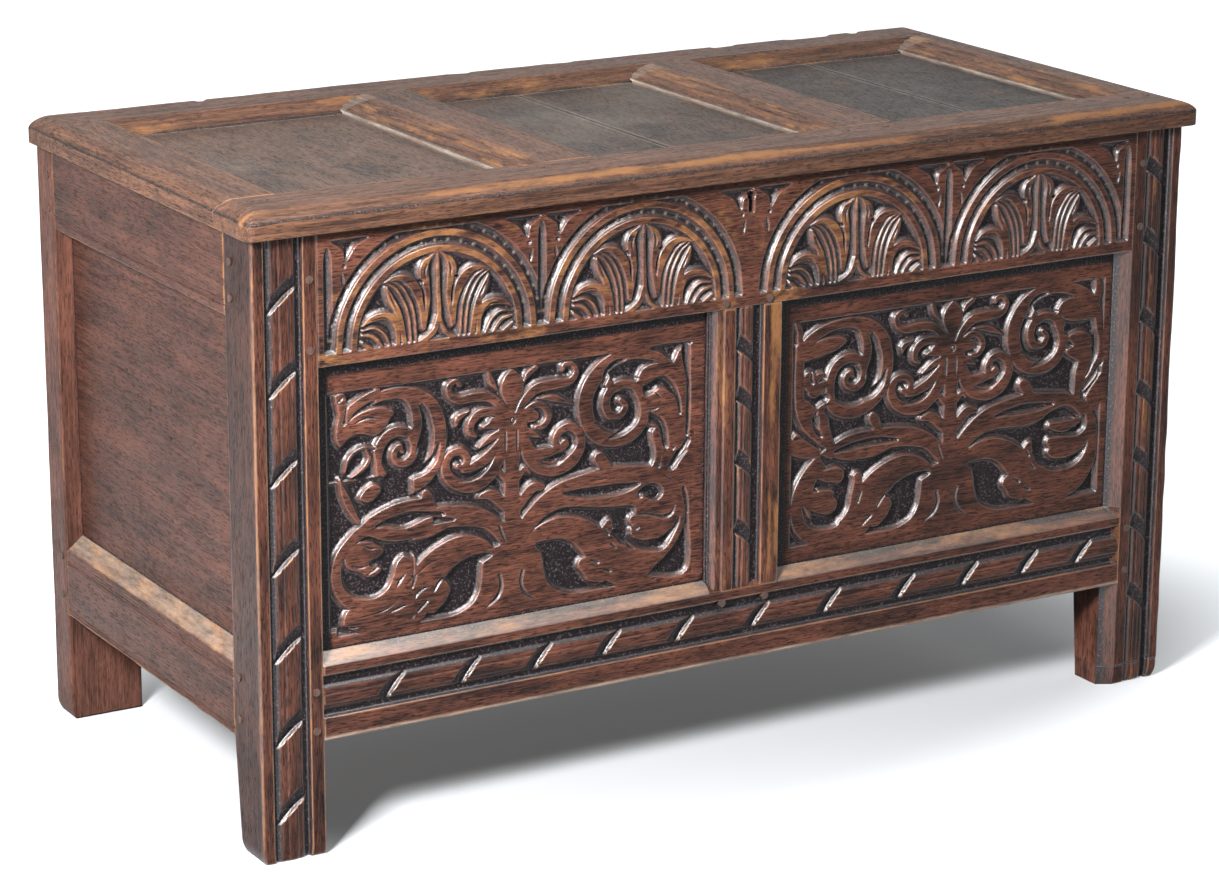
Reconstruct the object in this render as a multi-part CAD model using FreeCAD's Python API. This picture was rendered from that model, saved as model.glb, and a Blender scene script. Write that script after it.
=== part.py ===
import FreeCAD, Part
import os

# A joined oak coffer: four stiles, rails tenoned and pegged between them, panels in ploughed grooves,
# a framed lid on two iron strap hinges and a small iron lock behind the keyhole.
# Frame: origin on the floor at the middle of the overall box, front to -Y, left end to -X, +Z up.
# All sizes are in millimetres.

# ---- overall sizes -------------------------------------------------------------------------------
carcase_w = 1180.0
carcase_d = 552.0
carcase_h = 672.0
lid_t = 28.5
lid_end_overhang = 12.0
lid_front_overhang = 16.0
lid_back_inset = 4.0
lid_gap = 0.5               # daylight between the carcase and the closed lid

# ---- carcase timbers -----------------------------------------------------------------------------
left_stile_w = 73.0
right_stile_w = 81.5
front_stile_d = 65.0
back_stile_w = 88.0
back_stile_d = 44.0
foot_taper = 12.0           # the front feet lose this much of their depth below the rails
splice_h = 24.0             # new piece let on under the right front foot

front_rail_t = 30.0
front_top_rail_h = 142.0
front_low_rail_z = 127.0
front_low_rail_h = 82.0     # face height below the bevel
front_recess = 13.0         # the carved panels lie this far behind the face
front_bevel_h = 13.0
stile_chamfer_w = 17.0      # chamfer on the inner edge of the right front stile
front_muntin_x = -45.0      # left edge of the front muntin
front_muntin_w = 90.0
muntin_mould_w = 16.0
muntin_fillet_share = 0.22  # fillet, bulge and end of the ovolo across the moulding
muntin_bulge_share = 0.38
muntin_ovolo_share = 0.72
muntin_fillet_h = 2.5       # heights above the panel's face
muntin_ovolo_foot = 4.5
muntin_bulge_h = 9.0
muntin_ovolo_h = 11.0

side_rail_t = 34.0
side_top_rail_h = 92.5
side_low_rail_h = 77.5
side_recess = 20.0
side_bevel_h = 16.0

back_rail_t = 28.0
back_top_rail_h = 112.0
back_low_rail_h = 78.0
back_recess = 12.0
back_muntin_w = 80.0

# ---- joints and panels ---------------------------------------------------------------------------
groove_w = 8.0              # plough width, and the thickness of every tenon
groove_d = 10.0
panel_t = 12.0
panel_edge_gap = 1.0        # room for the panel to move at the bottom of its groove
feather_w = 40.0            # the panels are thinned on the back over this width
tenon_gap = 0.2
front_tenon_l = 42.0
side_tenon_front_l = 36.0
side_tenon_back_l = 32.0
back_tenon_l = 44.0
muntin_tenon_l = 36.0
tenon_shoulder = 10.0       # rail edge to tenon edge on a panelled side
outer_shoulder = 17.0       # top edge of a top rail to its tenon
low_shoulder = 5.0          # lower edge of a bottom rail to its tenon

peg_r = 4.2
peg_tip_r = 3.6
peg_l = 31.0
peg_proud = 1.2
peg_gap = 0.1
front_peg_inset = 9.0       # peg centre to the visible shoulder line
side_peg_inset = 14.5
left_top_peg_z = (20.0, 94.0)      # above the lower edge of the top rail
right_top_peg_z = (28.0, 102.0)
left_low_peg_z = (13.0, 56.0)      # above the lower edge of the bottom rail
right_low_peg_z = (16.0, 68.0)
side_top_peg_z = (22.0, 60.0)
side_low_peg_z = (22.0, 68.0)
back_top_peg_z = (26.0, 82.0)
back_low_peg_z = (16.0, 54.0)
muntin_peg_inset = 17.0     # peg centre to the muntin's edge
muntin_top_peg_z = 6.5      # above the lower edge of the top rail
muntin_low_peg_z = 12.5     # below the face edge of the bottom rail
back_muntin_peg_z = 14.0

# ---- bottom boards -------------------------------------------------------------------------------
board_t = 12.0
board_z = 150.0
board_groove_d = 10.0
board_gap = 0.6
board_shares = (236.0, 221.0, 243.0, 214.0, 226.0)   # widths of the uneven boards, left to right
board_nail_shares = (0.22, 0.78)   # nails across each board

# ---- lid -----------------------------------------------------------------------------------------
lid_front_rail_w = 79.0
lid_back_rail_w = 86.0
lid_left_rail_w = 70.0
lid_right_rail_w = 83.0
lid_muntin_w = 95.0
lid_muntin_left_x = -254.0  # left edges of the two muntins
lid_muntin_right_x = 131.0
lid_recess = 15.0
lid_panel_t = 8.0
lid_mould_w = 42.0
lid_mould_cover = 3.5       # moulding's thin edge above the panel
lid_mould_steps = ((0.14, 2.0, 3.5), (0.42, 6.5, 7.7), (0.72, 9.5, 10.5))   # share across, foot, top
lid_back_bevel_w = 26.0
lid_thumb_w = 24.0          # thumb moulding round the front and the ends
lid_thumb_h = 10.0
thumb_bulge_in = 0.42       # middle of the curve, as shares of its width and height
thumb_bulge_up = 0.62
lid_tenon_l = 45.0
lid_tenon_shoulder = 12.0
lid_peg_l = 22.0
lid_peg_proud = 0.5
lid_peg_side = 9.0          # peg centre to the edge of its tenon
lid_peg_inset = 20.0        # peg centre to the shoulder of the front joints
lid_back_peg_inset = 10.0   # peg centre to the back rail's bevel
middle_joint = 0.46         # where the boards meet, as a share of the panel's width
right_joint = 0.52

# ---- iron ----------------------------------------------------------------------------------------
strap_t = 2.5
strap_w = 30.0
strap_tip_w = 18.0
strap_l = 292.0
strap_gap = 0.5
leaf_w = 66.0
leaf_h = 62.0
leaf_clip = 9.0
hinge_pin_r = 3.0
hinge_pin_gap = 0.05
knuckle_gap = 0.3
pin_head_r = 4.4
pin_head_t = 1.8
nail_r = 1.7
nail_l = 20.0
nail_head_r = 4.5
nail_head_lip = 0.6
nail_head_t = 1.8
nail_gap = 0.08
leaf_nail_side = 20.0       # outer nails of a leaf, from its middle
leaf_nail_drop = 14.0       # knuckle to the two upper nails
leaf_nail_low_drop = 40.0
strap_back_nail = 34.0      # back edge of the lid to the first nail
strap_nail_steps = (32.0, 100.0)   # back rail's inner edge to the next two
strap_tip_nail = 22.0       # tip of the strap to the last nail
lock_nail_foot = 8.0
lock_nail_head = 12.0

keyhole_x = 3.0
keyhole_drop = 20.0         # top of the carcase to the centre of the round hole
keyhole_r = 4.6
keyhole_slot_w = 6.0
keyhole_slot_h = 18.0
lock_plate_t = 2.0
lock_wall = 2.0
lock_w = 120.0
lock_h = 64.0
lock_d = 24.0
lock_flange = 9.0
lock_top_drop = 7.0         # top of the carcase to the top of the lock case
bolt_h = 10.0
bolt_t = 8.0
bolt_l = 82.0
bolt_tail_x = -55.0
bolt_rise = 19.0            # foot of the lock case to the bolt
bolt_setback = 8.0          # lock plate to the bolt
bolt_slide_gap = 0.3
guide_t = 4.0
guide_xs = (-34.0, 22.0, 44.0)
talon_w = 12.0
talon_h = 3.5
staple_x = 35.0
staple_t = 5.0
staple_w = 16.0
staple_wall = 3.0
staple_foot = 4.5
staple_eye_gap = 1.5        # bolt to the eye, above and below
staple_clear = 4.0          # lock plate to the hanging staple
rail_clear = 1.0            # front rail to the staple's plate
staple_plate_w = 92.0
staple_plate_d = 30.0
staple_nail_inset = 11.0

# ---- places worked out from the sizes ------------------------------------------------------------
left = -carcase_w / 2
right = carcase_w / 2
eye_r = hinge_pin_r + hinge_pin_gap + strap_t
front = lid_front_overhang - (lid_front_overhang + carcase_d + 2 * eye_r) / 2
back = front + carcase_d

front_top_z = carcase_h - front_top_rail_h
front_low_top = front_low_rail_z + front_low_rail_h
front_panel_z = front_low_top + front_bevel_h
left_shoulder = left + left_stile_w
right_shoulder = right - right_stile_w
right_face_edge = right_shoulder + stile_chamfer_w

side_front = front + front_stile_d
side_back = back - back_stile_d
side_top_z = carcase_h - side_top_rail_h
side_low_z = front_low_rail_z
side_low_top = side_low_z + side_low_rail_h
side_panel_z = side_low_top + side_bevel_h

back_left = left + back_stile_w
back_right = right - back_stile_w
back_inner = back - back_rail_t
back_top_z = carcase_h - back_top_rail_h
board_top = board_z + board_t
back_low_top = board_top + back_low_rail_h

lid_z = carcase_h + lid_gap
lid_top = lid_z + lid_t
lid_left = left - lid_end_overhang
lid_right = right + lid_end_overhang
lid_front = front - lid_front_overhang
lid_back = back - lid_back_inset
lid_rail_front = lid_front + lid_front_rail_w
lid_rail_back = lid_back - lid_back_rail_w
lid_panel_top = lid_top - lid_recess
lid_panel_z = lid_panel_top - lid_panel_t
lid_opening_left = lid_left + lid_left_rail_w
lid_opening_right = lid_right - lid_right_rail_w

axis_y = back + eye_r
axis_z = lid_z - eye_r
strap_xs = (lid_muntin_left_x + lid_muntin_w / 2, lid_muntin_right_x + lid_muntin_w / 2)

lock_plate_y = front + front_rail_t
lock_case_y = lock_plate_y + lock_plate_t
lock_top = carcase_h - lock_top_drop
lock_z = lock_top - lock_h
bolt_y = lock_case_y + bolt_setback
bolt_z = lock_z + bolt_rise
keyhole_z = carcase_h - keyhole_drop
staple_y = lock_case_y + staple_clear
staple_plate_y = lock_plate_y + rail_clear


# ---- small makers --------------------------------------------------------------------------------
def vec(x, y, z):
    return FreeCAD.Vector(x, y, z)


def block(x0, x1, y0, y1, z0, z1):
    """Box between two corners."""
    return Part.makeBox(x1 - x0, y1 - y0, z1 - z0, vec(x0, y0, z0))


def grown(box, gap):
    """The six limits of a box, moved out by a gap."""
    x0, x1, y0, y1, z0, z1 = box
    return (x0 - gap, x1 + gap, y0 - gap, y1 + gap, z0 - gap, z1 + gap)


def prism(points, sweep):
    """Solid swept from a flat outline of straight edges."""
    corners = [vec(*p) for p in points]
    return Part.Face(Part.makePolygon(corners + corners[:1])).extrude(vec(*sweep))


def moulded(steps, place, sweep):
    """Solid swept from an outline. A step is a point (u, v), or a middle and an end point of an arc."""
    edges = []
    here = steps[0]
    for step in steps[1:] + steps[:1]:
        if len(step) == 4:
            middle, there = step[:2], step[2:]
            edges.append(Part.Arc(place(*here), place(*middle), place(*there)).toShape())
        else:
            there = step
            edges.append(Part.makeLine(place(*here), place(*there)))
        here = there
    return Part.Face(Part.Wire(edges)).extrude(vec(*sweep))


def rod(radius, start, direction, length):
    return Part.makeCylinder(radius, length, vec(*start), vec(*direction))


def fused(solids):
    shape = solids[0]
    for solid in solids[1:]:
        shape = shape.fuse(solid)
    return shape.removeSplitter()


def cut_all(shape, tools):
    for tool in tools:
        shape = shape.cut(tool)
    return shape


def mirrored(shape):
    """The right-hand twin of a left-hand piece."""
    return shape.mirror(vec(0, 0, 0), vec(1, 0, 0))


def save(node, shapes):
    """Write one node. Several shapes stay separate solids of that node."""
    shape = shapes[0] if len(shapes) == 1 else Part.makeCompound(shapes)
    shape.exportStep("parts/" + node + ".step")


# ---- pegs and nails ------------------------------------------------------------------------------
def peg(face_point, inward, proud=peg_proud, length=peg_l):
    """Tapered oak peg that stands a little proud of the face."""
    direction = vec(*inward)
    start = vec(*face_point) - direction * proud
    return Part.makeCone(peg_r, peg_tip_r, length + proud, start, direction)


def peg_hole(face_point, inward, length=peg_l):
    direction = vec(*inward)
    start = vec(*face_point) - direction * peg_l
    return Part.makeCylinder(peg_r + peg_gap, peg_l + length + peg_gap, start, direction)


def nail(face_point, inward):
    """Wrought nail: a low rose head on the face and a shank driven inward."""
    direction = vec(*inward)
    point = vec(*face_point)
    head = Part.makeCone(nail_head_r, nail_r + nail_head_lip, nail_head_t, point, direction * -1)
    shank = Part.makeCylinder(nail_r, nail_l, point, direction)
    return head.fuse(shank).removeSplitter()


def nail_hole(face_point, inward):
    direction = vec(*inward)
    return Part.makeCylinder(nail_r + nail_gap, nail_l + nail_gap, vec(*face_point), direction)


TO_REAR = (0, 1, 0)
TO_FRONT = (0, -1, 0)
TO_RIGHT = (1, 0, 0)
DOWN = (0, 0, -1)
UP = (0, 0, 1)

left_peg_x = left_shoulder - front_peg_inset
front_left_pegs = [(left_peg_x, front, front_top_z + z) for z in left_top_peg_z]
front_left_pegs += [(left_peg_x, front, front_low_rail_z + z) for z in left_low_peg_z]
right_peg_x = right_face_edge + front_peg_inset
front_right_pegs = [(right_peg_x, front, front_top_z + z) for z in right_top_peg_z]
front_right_pegs += [(right_peg_x, front, front_low_rail_z + z) for z in right_low_peg_z]
muntin_peg_xs = (front_muntin_x + muntin_peg_inset, front_muntin_x + front_muntin_w - muntin_peg_inset)
front_muntin_pegs = [(x, front, front_top_z + muntin_top_peg_z) for x in muntin_peg_xs]
front_muntin_pegs += [(x, front, front_low_top - muntin_low_peg_z) for x in muntin_peg_xs]

side_peg_zs = [side_top_z + z for z in side_top_peg_z] + [side_low_z + z for z in side_low_peg_z]
side_peg_ys = (side_front - side_peg_inset, side_back + side_peg_inset)
side_pegs = [(left, y, z) for y in side_peg_ys for z in side_peg_zs]

back_peg_zs = [back_top_z + z for z in back_top_peg_z] + [board_top + z for z in back_low_peg_z]
back_stile_pegs = [(back_left - side_peg_inset, back, z) for z in back_peg_zs]
back_muntin_pegs = [(0.0, back, back_top_z + back_muntin_peg_z),
                    (0.0, back, back_low_top - back_muntin_peg_z)]


# ---- tenons, as boxes that the rails add and the stiles lose --------------------------------------
front_tenon_y = (front + front_recess, front + front_recess + groove_w)
front_top_tenon_z = (front_top_z + tenon_shoulder, carcase_h - outer_shoulder)
front_low_tenon_z = (front_low_rail_z + low_shoulder, front_panel_z - outer_shoulder)
side_tenon_x = (left + side_recess, left + side_recess + groove_w)
side_top_tenon_z = (side_top_z + tenon_shoulder, carcase_h - outer_shoulder)
side_low_tenon_z = (side_low_z + tenon_shoulder, side_panel_z - outer_shoulder)
back_tenon_y = (back - back_recess - groove_w, back - back_recess)
back_top_tenon_z = (back_top_z + tenon_shoulder, carcase_h - outer_shoulder)
back_low_tenon_z = (board_top + low_shoulder, back_low_top - outer_shoulder)


def front_tenons_left():
    span = (left_shoulder - front_tenon_l, left_shoulder)
    return [span + front_tenon_y + front_top_tenon_z, span + front_tenon_y + front_low_tenon_z]


def front_tenons_right():
    span = (right_shoulder, right_shoulder + front_tenon_l)
    return [span + front_tenon_y + front_top_tenon_z, span + front_tenon_y + front_low_tenon_z]


def side_tenons_front():
    span = (side_front - side_tenon_front_l, side_front)
    return [side_tenon_x + span + side_top_tenon_z, side_tenon_x + span + side_low_tenon_z]


def side_tenons_back():
    span = (side_back, side_back + side_tenon_back_l)
    return [side_tenon_x + span + side_top_tenon_z, side_tenon_x + span + side_low_tenon_z]


def back_tenons_left():
    span = (back_left - back_tenon_l, back_left)
    return [span + back_tenon_y + back_top_tenon_z, span + back_tenon_y + back_low_tenon_z]


def mortises(tenons):
    return [block(*grown(t, tenon_gap)) for t in tenons]


# ---- stiles --------------------------------------------------------------------------------------
def side_groove(y0, y1):
    """Stopped groove for the side panel in a stile's edge."""
    return block(*side_tenon_x, y0, y1, side_panel_z - groove_d, side_top_z + groove_d)


def foot_taper_cut(x0, x1):
    points = [(x0, side_front, front_low_rail_z), (x0, side_front, 0), (x0, side_front - foot_taper, 0)]
    return prism(points, (x1 - x0, 0, 0))


def front_left_stile():
    stile = block(left, left_shoulder, front, side_front, 0, carcase_h)
    front_groove = block(left_shoulder - groove_d, left_shoulder, *front_tenon_y,
                         front_panel_z - groove_d, front_top_z + groove_d)
    cuts = mortises(front_tenons_left() + side_tenons_front())
    cuts += [front_groove, side_groove(side_front - groove_d, side_front)]
    cuts += [foot_taper_cut(left, left_shoulder)]
    cuts += [peg_hole(p, TO_REAR) for p in front_left_pegs]
    cuts += [peg_hole(p, TO_RIGHT) for p in side_pegs if p[1] < side_front]
    return cut_all(stile, cuts)


def right_stile_section():
    """Outline of the right front stile, with the chamfer on its inner front edge."""
    return [(right_shoulder, side_front), (right_shoulder, front + front_recess), (right_face_edge, front),
            (right, front), (right, side_front)]


def right_stile_prism(z0, z1):
    return prism([(x, y, z0) for x, y in right_stile_section()], (0, 0, z1 - z0))


def front_right_stile_and_foot():
    """The stile and the piece let on under it, as two solids."""
    stile = right_stile_prism(0, carcase_h)
    front_groove = block(right_shoulder, right_shoulder + groove_d, *front_tenon_y,
                         front_panel_z - groove_d, front_top_z + groove_d)
    cuts = mortises(front_tenons_right()) + [front_groove]
    left_cuts = mortises(side_tenons_front()) + [side_groove(side_front - groove_d, side_front)]
    left_cuts += [peg_hole(p, TO_RIGHT) for p in side_pegs if p[1] < side_front]
    cuts += [mirrored(c) for c in left_cuts]
    cuts += [foot_taper_cut(right_shoulder, right)]
    cuts += [peg_hole(p, TO_REAR) for p in front_right_pegs]
    stile = cut_all(stile, cuts)
    foot_space = block(right_shoulder, right, front, side_front, 0, splice_h)
    return stile.cut(foot_space), stile.common(foot_space)


def back_left_stile():
    stile = block(left, back_left, side_back, back, 0, carcase_h)
    back_groove = block(back_left - groove_d, back_left, *back_tenon_y,
                        back_low_top - groove_d, back_top_z + groove_d)
    cuts = mortises(back_tenons_left() + side_tenons_back())
    cuts += [back_groove, side_groove(side_back, side_back + groove_d)]
    cuts += [peg_hole(p, TO_FRONT) for p in back_stile_pegs]
    cuts += [peg_hole(p, TO_RIGHT) for p in side_pegs if p[1] > side_back]
    return cut_all(stile, cuts)


# ---- front frame ---------------------------------------------------------------------------------
muntin_tenon_x = (front_muntin_x + groove_d, front_muntin_x + front_muntin_w - groove_d)
muntin_top_tenon = muntin_tenon_x + front_tenon_y + (front_top_z, front_top_z + muntin_tenon_l)
muntin_low_tenon = muntin_tenon_x + front_tenon_y + (front_panel_z - muntin_tenon_l, front_panel_z)


def keyhole():
    """Round hole with a slot below it, through the rail and the lock plate."""
    depth = front_rail_t + lock_plate_t + 2
    barrel = rod(keyhole_r, (keyhole_x, front - 1, keyhole_z), (0, 1, 0), depth)
    slot = block(keyhole_x - keyhole_slot_w / 2, keyhole_x + keyhole_slot_w / 2,
                 front - 1, front - 1 + depth, keyhole_z - keyhole_slot_h, keyhole_z)
    return barrel.fuse(slot)


def front_panel_groove(z0, z1):
    return block(left_shoulder, right_shoulder, *front_tenon_y, z0, z1)


def front_top_rail():
    """Deep upper rail, with its right shoulder scribed over the stile's chamfer."""
    rail = block(left_shoulder, right_face_edge, front, front + front_rail_t, front_top_z, carcase_h)
    rail = rail.cut(right_stile_prism(front_top_z, carcase_h))
    tenons = [block(*front_tenons_left()[0]), block(*front_tenons_right()[0])]
    rail = fused([rail] + tenons)
    cuts = [front_panel_groove(front_top_z, front_top_z + groove_d), keyhole()]
    cuts += mortises([muntin_top_tenon])
    pegs = front_left_pegs[:2] + front_right_pegs[:2] + front_muntin_pegs[:2]
    cuts += [peg_hole(p, TO_REAR) for p in pegs]
    cuts += [nail_hole(p, TO_FRONT) for p in lock_nail_points()]
    return cut_all(rail, cuts)


def front_low_rail_solid():
    """Lower rail with the wide bevel that runs down to its face."""
    inner = front + front_rail_t
    points = [(left_shoulder, front, front_low_rail_z), (left_shoulder, front, front_low_top),
              (left_shoulder, front + front_recess, front_panel_z), (left_shoulder, inner, front_panel_z),
              (left_shoulder, inner, front_low_rail_z)]
    rail = prism(points, (right_face_edge - left_shoulder, 0, 0))
    return rail.cut(right_stile_prism(0, carcase_h))


def front_bottom_rail():
    tenons = [block(*front_tenons_left()[1]), block(*front_tenons_right()[1])]
    rail = fused([front_low_rail_solid()] + tenons)
    inner = front + front_rail_t
    board_groove = block(left_shoulder, right_shoulder, inner - board_groove_d, inner, board_z, board_top)
    cuts = [front_panel_groove(front_panel_z - groove_d, front_panel_z), board_groove]
    cuts += mortises([muntin_low_tenon])
    pegs = front_left_pegs[2:] + front_right_pegs[2:] + front_muntin_pegs[2:]
    cuts += [peg_hole(p, TO_REAR) for p in pegs]
    return cut_all(rail, cuts)


def front_muntin():
    """Middle upright: fillets and an ovolo on its left edge, its foot scribed over the bevel."""
    depth = front_rail_t - front_recess
    fillet = muntin_mould_w * muntin_fillet_share
    bulge = muntin_mould_w * muntin_bulge_share
    ovolo_end = muntin_mould_w * muntin_ovolo_share
    steps = [(0, -depth), (0, muntin_fillet_h), (fillet, muntin_fillet_h), (fillet, muntin_ovolo_foot),
             (bulge, muntin_bulge_h, ovolo_end, muntin_ovolo_h), (muntin_mould_w, muntin_ovolo_h),
             (muntin_mould_w, front_recess), (front_muntin_w, front_recess), (front_muntin_w, -depth)]

    def place(u, v):
        return vec(front_muntin_x + u, front + front_recess - v, front_low_top)

    body = moulded(steps, place, (0, 0, front_top_z - front_low_top))
    body = body.cut(front_low_rail_solid())
    muntin = fused([body, block(*muntin_top_tenon), block(*muntin_low_tenon)])
    edges = (front_muntin_x, front_muntin_x + front_muntin_w)
    cuts = [block(edges[0], edges[0] + groove_d, *front_tenon_y, front_panel_z, front_top_z)]
    cuts += [block(edges[1] - groove_d, edges[1], *front_tenon_y, front_panel_z, front_top_z)]
    cuts += [peg_hole(p, TO_REAR) for p in front_muntin_pegs]
    return cut_all(muntin, cuts)


def thinned_back(x0, x1, y_face, inward, z0, z1):
    """Panel with a flat front face, thinned on the back to fit its grooves. inward is +1 or -1 in Y."""
    far = y_face + inward * panel_t
    near = y_face + inward * groove_w
    low, high = min(y_face, far), max(y_face, far)
    panel = block(x0, x1, low, high, z0, z1)
    edge = groove_d
    side = [(0, near), (edge, near), (feather_w, far), (0, far)]
    cuts = [prism([(x0 + u, y, z0) for u, y in side], (0, 0, z1 - z0)),
            prism([(x1 - u, y, z0) for u, y in side], (0, 0, z1 - z0)),
            prism([(x0, y, z0 + u) for u, y in side], (x1 - x0, 0, 0)),
            prism([(x0, y, z1 - u) for u, y in side], (x1 - x0, 0, 0))]
    return cut_all(panel, cuts)


def front_panel(x0, x1):
    reach = groove_d - panel_edge_gap
    return thinned_back(x0 - reach, x1 + reach, front + front_recess, 1,
                        front_panel_z - reach, front_top_z + reach)


# ---- side frame, drawn for the left end ------------------------------------------------------------
def side_rail_groove(z0, z1):
    return block(*side_tenon_x, side_front, side_back, z0, z1)


def side_top_rail():
    rail = block(left, left + side_rail_t, side_front, side_back, side_top_z, carcase_h)
    rail = fused([rail, block(*side_tenons_front()[0]), block(*side_tenons_back()[0])])
    cuts = [side_rail_groove(side_top_z, side_top_z + groove_d)]
    cuts += [peg_hole(p, TO_RIGHT) for p in side_pegs]
    return cut_all(rail, cuts)


def side_bottom_rail():
    inner = left + side_rail_t
    points = [(left, side_front, side_low_z), (left, side_front, side_low_top),
              (left + side_recess, side_front, side_panel_z), (inner, side_front, side_panel_z),
              (inner, side_front, side_low_z)]
    rail = prism(points, (0, side_back - side_front, 0))
    rail = fused([rail, block(*side_tenons_front()[1]), block(*side_tenons_back()[1])])
    board_groove = block(inner - board_groove_d, inner, side_front, side_back, board_z, board_top)
    cuts = [side_rail_groove(side_panel_z - groove_d, side_panel_z), board_groove]
    cuts += [peg_hole(p, TO_RIGHT) for p in side_pegs]
    return cut_all(rail, cuts)


def side_panel():
    """Side panel, made lying along X and turned to face the left end."""
    reach = groove_d - panel_edge_gap
    panel = thinned_back(side_front - reach, side_back + reach, left + side_recess, 1,
                         side_panel_z - reach, side_top_z + reach)
    return panel.mirror(vec(0, 0, 0), vec(1, -1, 0))


# ---- back frame ------------------------------------------------------------------------------------
back_muntin_x = (-back_muntin_w / 2, back_muntin_w / 2)
back_muntin_tenon_x = (back_muntin_x[0] + groove_d, back_muntin_x[1] - groove_d)
back_muntin_top = back_muntin_tenon_x + back_tenon_y + (back_top_z, back_top_z + muntin_tenon_l)
back_muntin_low = back_muntin_tenon_x + back_tenon_y + (back_low_top - muntin_tenon_l, back_low_top)


def back_rail(z0, z1, groove_z, tenon, muntin_tenon):
    rail = block(back_left, back_right, back_inner, back, z0, z1)
    tenon_left = block(*tenon)
    rail = fused([rail, tenon_left, mirrored(tenon_left)])
    groove = block(back_left, back_right, *back_tenon_y, groove_z, groove_z + groove_d)
    holes = [peg_hole(p, TO_FRONT) for p in back_stile_pegs]
    cuts = [groove] + mortises([muntin_tenon]) + holes + [mirrored(h) for h in holes]
    cuts += [peg_hole(p, TO_FRONT) for p in back_muntin_pegs]
    return cut_all(rail, cuts)


def back_top_rail():
    rail = back_rail(back_top_z, carcase_h, back_top_z, back_tenons_left()[0], back_muntin_top)
    half = strap_w / 2 + 1
    floor = lid_z - strap_t - strap_gap
    cuts = [block(x - half, x + half, back_inner, back, floor, carcase_h) for x in strap_xs]
    cuts += [nail_hole(p, TO_FRONT) for x in strap_xs for p in leaf_nail_points(x)]
    return cut_all(rail, cuts)


def back_bottom_rail():
    rail = back_rail(board_top, back_low_top, back_low_top - groove_d, back_tenons_left()[1], back_muntin_low)
    return cut_all(rail, [nail_hole(p, UP) for p in board_nail_points()])


def back_muntin():
    body = block(*back_muntin_x, back_inner, back, back_low_top, back_top_z)
    muntin = fused([body, block(*back_muntin_top), block(*back_muntin_low)])
    grooves = [block(back_muntin_x[0], back_muntin_x[0] + groove_d, *back_tenon_y, back_low_top, back_top_z),
               block(back_muntin_x[1] - groove_d, back_muntin_x[1], *back_tenon_y, back_low_top, back_top_z)]
    return cut_all(muntin, grooves + [peg_hole(p, TO_FRONT) for p in back_muntin_pegs])


def back_panel():
    """Left back panel; the right one is its twin."""
    reach = groove_d - panel_edge_gap
    return thinned_back(back_left - reach, back_muntin_x[0] + reach, back - back_recess, -1,
                        back_low_top - reach, back_top_z + reach)


# ---- bottom boards ---------------------------------------------------------------------------------
board_left = left + side_rail_t - board_groove_d + board_gap
board_right = -board_left
board_front = front + front_rail_t - board_groove_d + board_gap
board_back = back - board_gap


def board_edges():
    """Left and right edge of each board, spread over the width between the side rails."""
    scale = (board_right - board_left) / sum(board_shares)
    edges = []
    x = board_left
    for share in board_shares:
        edges.append((x, x + share * scale - board_gap))
        x += share * scale
    return edges


def board_nail_points():
    """Two nails per board, up into the back rail."""
    y = back - back_rail_t / 2
    points = []
    for x0, x1 in board_edges():
        low = max(x0, back_left)
        high = min(x1, back_right)
        points += [(low + (high - low) * share, y, board_z) for share in board_nail_shares]
    return points


def bottom_board(x0, x1):
    """Board notched round the stiles that it meets."""
    gap = board_gap
    board = block(x0, x1, board_front, board_back, board_z, board_top)
    notches = [block(left, left_shoulder + gap, front, side_front + gap, board_z, board_top),
               block(right_shoulder - gap, right, front, side_front + gap, board_z, board_top),
               block(left, back_left + gap, side_back - gap, back, board_z, board_top),
               block(back_right - gap, right, side_back - gap, back, board_z, board_top)]
    return cut_all(board, notches + [nail_hole(p, UP) for p in board_nail_points()])


# ---- lid -------------------------------------------------------------------------------------------
lid_tenon_z = (lid_panel_z, lid_panel_top)
lid_uprights = ((lid_left, lid_left_rail_w), (lid_muntin_left_x, lid_muntin_w),
                (lid_muntin_right_x, lid_muntin_w), (lid_opening_right, lid_right_rail_w))


def lid_tenon_span(x0, width):
    """Left and right edge of a tenon, clear of the grooves and of the thumb moulding at the ends."""
    low = max(x0 + lid_tenon_shoulder, lid_left + lid_thumb_w)
    high = min(x0 + width - lid_tenon_shoulder, lid_right - lid_thumb_w)
    return (low, high)


def lid_tenon_boxes(x0, width):
    """Front and back tenon of an end rail or muntin."""
    across = lid_tenon_span(x0, width)
    return [across + (lid_rail_front - lid_tenon_l, lid_rail_front) + lid_tenon_z,
            across + (lid_rail_back, lid_rail_back + lid_tenon_l) + lid_tenon_z]


def lid_peg_points(x0, width):
    low, high = lid_tenon_span(x0, width)
    ys = (lid_rail_front - lid_peg_inset, lid_rail_back + lid_back_bevel_w + lid_back_peg_inset)
    return [(x, y, lid_top) for x in (low + lid_peg_side, high - lid_peg_side) for y in ys]


def lid_peg_hole(point):
    return peg_hole(point, DOWN, lid_peg_l)


def thumb_edge(low, place, sweep):
    """Solid to cut away outside the thumb moulding: u runs inward from the edge, v up."""
    top = low + lid_thumb_h
    bulge = (lid_thumb_w * thumb_bulge_in, low + lid_thumb_h * thumb_bulge_up)
    steps = [(0, low), bulge + (lid_thumb_w, top), (lid_thumb_w, top + 5), (-5, top + 5), (-5, low)]
    return moulded(steps, place, sweep)


def front_thumb_cut():
    low = lid_t - lid_thumb_h
    return thumb_edge(low, lambda u, v: vec(lid_left, lid_front + u, lid_z + v), (lid_right - lid_left, 0, 0))


def left_thumb_cut():
    low = lid_t - lid_thumb_h
    return thumb_edge(low, lambda u, v: vec(lid_left + u, lid_front, lid_z + v), (0, lid_back - lid_front, 0))


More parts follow.
